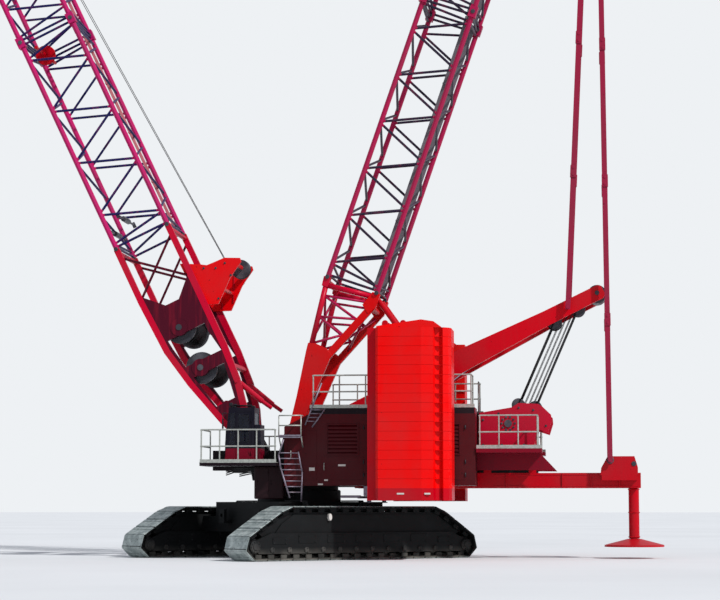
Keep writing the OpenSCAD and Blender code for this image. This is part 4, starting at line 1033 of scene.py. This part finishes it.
def boom_details():
    """Rope guides on the boom, its hoist lines, and the ribs and bolts of the red guide frame."""
    to_boom, parts = BOOM.inverted(), []
    for guide in ((2.948, 0, 5.60), (3.09, 0, 5.35)):
        x, _, z = to_boom @ Vector(guide)
        parts += [cross_rod("roller", x, z, -0.20, 0.20, 0.045, 24, 0.3),
                  cross_rod("axle", x, z, -0.62, 0.62, 0.018)]
        for s in SIDES:
            low, high = (x - 0.03, s * 0.60 - 0.008, z - 0.05), (x + 0.03, s * 0.60 + 0.008, z + 0.05)
            parts.append(block("bracket", low, high, 0.003))
    dress(joined("rope_guides", parts, BOOM), "boom", SHEAVE_STEEL)
    x, _, z = to_boom @ Vector((4.371, 0, 8.45))
    dress(sheave_row("guide_sheave", BOOM @ at(x, 0, z), 0.17, 0.05, 0.62, 1), "boom", DEEP_RED)
    dress(sheave_row("horn_sheaves", at(0.985, 0, 4.74), 0.16, 0.05, 0.56, 2), "boom", SHEAVE_STEEL)
    drum_x, drum_z = DRUMS["upper_drum"]
    head = BOOM @ Vector((BOOM_CENTRE + 0.19, 0, BOOM_LENGTH))
    start = BOOM @ Vector((drum_x + 0.17, 0, drum_z + 0.10))
    lines = [[(start.x, y * 4, start.z), (1.14, y, 4.70), (head.x, y * 5.33, head.z)] for y in (-0.06, 0.06)]
    dress(bars("boom_hoist_lines", lines, ROPE_RADIUS * 0.5, 6), "boom", BED_STEEL)
    ribs = []
    for (x0, z0), (x1, z1) in (((1.60, 4.70), (1.63, 4.14)), ((1.45, 4.68), (1.40, 4.14)),
                               ((1.20, 4.78), (1.22, 4.24))):
        ribs += [rod("rib", (x0, s * 0.57, z0), (x1, s * 0.57, z1), 0.018, 6, 0.1) for s in SIDES]
    dress(joined("horn_ribs", ribs), "boom", DEEP_RED)
    studs = [at(x, 0.6097, z) for x, z in ((1.55, 4.16), (1.50, 4.70), (1.30, 4.70), (1.15, 4.78),
                                           (1.25, 4.20), (1.75, 4.70), (1.05, 4.58))]
    spread("horn_bolts", bolt(0.013), mirrored(studs), SHEAVE_STEEL, "boom")


def pendant_joints():
    """Fork and pin joints along the mast's pendants to the live mast and to the rear beam."""
    parts = [block("cheek", (-0.05, y, -0.10), (0.05, y + 0.012, 0.10), 0.006) for y in (-0.030, 0.018)]
    parts += [cross_rod("pin", 0, z, -0.038, 0.038, 0.022, 16, 0.2) for z in (-0.055, 0.055)]
    fork = joined("joint", parts)
    top = MAST @ Vector((MAST_CENTRE - 0.34, 0, MAST_LENGTH - 0.06))
    way = (Vector(LIVE_TIP) - Vector(LIVE_FOOT)).normalized()
    live = Vector(LIVE_TIP) - way * 0.52
    rear = Vector((BEAM_EYE[0], 0, BEAM_EYE[1]))
    places = []
    for start, y in ((live, 0.49), (rear, 0.53)):
        count = round((top - start).length / 2.2)
        turn = (top - start).to_track_quat("Z", "Y").to_matrix().to_4x4()
        across = abs((turn @ Vector((0, 1, 0))).y) < 0.5
        flat = turn @ Matrix.Rotation(math.pi / 2, 4, "Z") if across else turn
        places += [Matrix.Translation(start.lerp(top, i / count) + Vector((0, y, 0))) @ flat
                   for i in range(1, count)]
    spread("pendant_joints", fork, mirrored(places), PENDANT_RED)


def live_mast_reeving():
    """The falls of rope between the live mast and the rear frame, and their sheaves."""
    upper = [(-4.19, 3.80), (-4.57, 4.02)]
    lower = [(-3.60, 2.455), (-3.87, 2.41)]
    falls = [[(x0, -0.245 + 0.07 * i, z0), (x1, -0.245 + 0.07 * i, z1)]
             for (x0, z0), (x1, z1) in zip(upper, lower) for i in range(8)]
    dress(bars("luffing_falls", falls, 0.009, 6), "upper", ROPE)
    thin = [[(x0 + (x1 - x0) * share, y, z0 + (z1 - z0) * share) for (x0, z0), (x1, z1) in (upper, lower)]
            for share in (0.3, 0.55, 0.8) for y in (-0.21, 0.0, 0.21)]
    dress(bars("signal_lines", thin, 0.004, 6), "upper", BED_STEEL)
    ties = [[(-0.95, y, 1.745), (-3.12, y, 3.335)] for y in (-0.30, 0.30)]
    dress(bars("live_mast_ties", ties, 0.010), "upper", LADDER_STEEL)
    for name, blocks, radius, half in (("live_block", upper, 0.12, 0.325),
                                       ("frame_block", lower, 0.11, 0.60)):
        for end, (x, z) in zip(("_front", "_rear"), blocks):
            dress(sheave_row(name + end, at(x, 0, z), radius, 0.045, half, 8), "upper", SHEAVE_STEEL)


def stretching_ropes():
    """The boom stay's ropes with the stay's yoke, and the hoist ropes."""
    top = MAST @ Vector((MAST_CENTRE + 0.19, 0, MAST_LENGTH - 0.26))
    head = BOOM @ Vector((BOOM_CENTRE - 0.33, 0, BOOM_LENGTH + 0.02))
    way = (head - top).normalized()
    start, end = top + way * 0.14, top + way * (head - top).length * 0.45
    knot = top + way * 0.115
    yoke = [cross_rod("eye", top.x, top.z, y - 0.016, y + 0.016, 0.055, 32) for y in (-0.105, 0.105)]
    yoke += [cross_rod("axle", top.x, top.z, -0.175, 0.175, 0.030, 24),
             cross_rod("tie", knot.x, knot.z, -0.12, 0.12, 0.038, 24)]
    for y in (-0.10, 0.10):
        out = Vector((0, y, 0))
        yoke.append(rod("arm", top + out, top + way * 0.12 + out, 0.020))
    dress(joined("stay_yoke", yoke), "stay_lines", SHEAVE_STEEL)
    side = Vector((0, 0.06, 0))
    piece = bars("stay_rope_falls", [[start + side * k, end + side * k] for k in (-1, 0, 1)], 0.012)
    piece.data.materials.append(ROPE)
    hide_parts("stay_ropes")
    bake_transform(piece)
    x, low = HOOK_X, HOOK_HEIGHT + 0.36
    falls = bars("hoist_rope_falls", [[(x, y, NOSE.z), (x, y, low)] for y in (-0.06, 0.06)], 0.013)
    falls.data.materials.append(ROPE)
    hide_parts("hoist_ropes")
    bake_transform(falls)


# Counterweight, rear frame and hook block
def stack_details():
    """Pale plates on the trays and lifting eyes on the stacks."""
    plates = [panel(x0, x1, 1.005, 1.03, 2.16, 0.046) for x0, x1 in ((-1.93, -1.82), (-2.33, -2.24))]
    both_sides("tray_plates", boxes("plates", plates, 0.002), PLATE_PALE, "counterweight")
    top, eyes = STACK_LOW + SLABS * SLAB + 0.02, []
    for x in (-1.9, -1.62):
        for y in (1.52, 1.98):
            low, high = (x - 0.05, y - 0.014, top - 0.06), (x + 0.05, y + 0.014, top + 0.05)
            eyes += [cross_rod("eye", x, top + 0.055, y - 0.012, y + 0.012, 0.05, 24),
                     block("foot", low, high)]
    both_sides("stack_eyes", joined("eyes", eyes), DEEP_RED, "counterweight")


def rear_details():
    """Bolts, ribs, collars and hoses of the rear frame, dark blocks filling the gap under the bed as painted
    shade, the post's sleeve and the house jacks.
    """
    jack = [block("jack", (-1.36, 1.06, 0.99), (-1.20, 1.24, 1.15), 0.008),
            rod("ram", (-1.28, 1.15, 0.90), (-1.28, 1.15, 1.0), 0.035, 20),
            rod("foot", (-1.28, 1.15, 0.885), (-1.28, 1.15, 0.90), 0.06, 24),
            block("step", (-1.14, 1.02, 0.96), (-0.84, 1.24, 1.0))]
    studs = [at(x, FRAME_CHEEK, z) for x, z in ((-3.05, 1.80), (-3.05, 2.20), (-3.35, 1.80), (-3.70, 1.80),
                                                (-3.85, 2.35), (-3.62, 2.39), (-3.30, 2.30), (-4.05, 2.10))]
    studs += ring(*WINCH, 0.105, 10, FRAME_CHEEK)
    spread("rear_frame_bolts", bolt(0.013), mirrored(studs), SHEAVE_STEEL)
    ribs = [panel(x - 0.010, x + 0.010, 1.125, 1.355, 0.310, 0.025) for x in (-5.2, -4.75, -4.3, -3.4, -2.95)]
    ribs += [panel(-5.50, -3.2, z, z + 0.02, 0.31, 0.006) for z in (1.14, 1.32)]
    # Near-black blocks in the gap between the beam and the bed: painted shade where there is only shadow.
    shade_fillers = [span((-3.90, 0.20, 1.352), (-3.0, 0.30, BED_LOW + 0.004))]
    sleeve = [rod("sleeve", (POST_X, 0, 0.312), (POST_X, 0, 1.117), 0.084, 32, 0.05)]
    sleeve += [rod("collar", (POST_X, 0, z), (POST_X, 0, z + 0.02), 0.098, 32) for z in (0.33, 0.72, 1.09)]
    dress(joined("post_sleeve", sleeve), "upper", DEEP_RED)
    collars = [cross_rod("collar", *BEAM_EYE, 0.466, 0.486, 0.060, 24),
               cross_rod("collar", POST_X, 1.50, 0.466, 0.476, 0.040, 24)]
    runs = [[(0.20, 0.752, z), (0.95, 0.752, z), (1.10, 0.62, z - 0.04)] for z in (1.43, 1.40, 1.37)]
    for name, pattern, finish in (("house_jacks", joined("jack", jack), LADDER_STEEL),
                                  ("beam_ribs", boxes("ribs", ribs), DEEP_RED),
                                  ("beam_shade_fillers", boxes("shade_fillers", shade_fillers), FRAME_STEEL),
                                  ("bracket_collars", joined("collar", collars), SHEAVE_STEEL),
                                  ("bed_hoses", bars("hoses", runs, 0.010, 10), RUBBER_HOSE)):
        both_sides(name, pattern, finish)


def hook_details():
    """Cheek bolts and weights on the hook block, and the safety latch of the hook."""
    x, z, cheek = HOOK_X, HOOK_HEIGHT, 0.125
    studs = [at(x + s * u, cheek, z + v) for u, v in ((0.11, 0.37), (0.13, 0.16), (0.06, 0.0)) for s in SIDES]
    spread("block_bolts", bolt(0.014), mirrored(studs), SHEAVE_STEEL, "hook_block")
    weights = [panel(x - 0.10, x + 0.10, z + 0.05, z + 0.13, cheek, 0.025),
               panel(x - 0.085, x + 0.085, z + 0.27, z + 0.33, cheek, 0.020)]
    both_sides("block_weights", boxes("weights", weights, 0.006), CRANE_RED, "hook_block")
    latch = [rod("latch", (x + 0.055, 0.0, z - 0.395), (x + 0.155, 0.0, z - 0.49), 0.012, 10),
             cross_rod("spring", x + 0.04, z - 0.39, -0.030, 0.030, 0.016, 16)]
    dress(joined("hook_latch", latch), "hook", SHEAVE_STEEL)


for build in (finish_nodes, studio, tracks, crawler_details, house_details, deck_details, stairs,
              frame_fillers, cab_inside, cab_outside, mast_legs, stowed_bars, section_pins, drum_ropes,
              boom_details, pendant_joints, live_mast_reeving, stretching_ropes, valve_cabinets,
              stack_details, rear_details, hook_details):
    build()
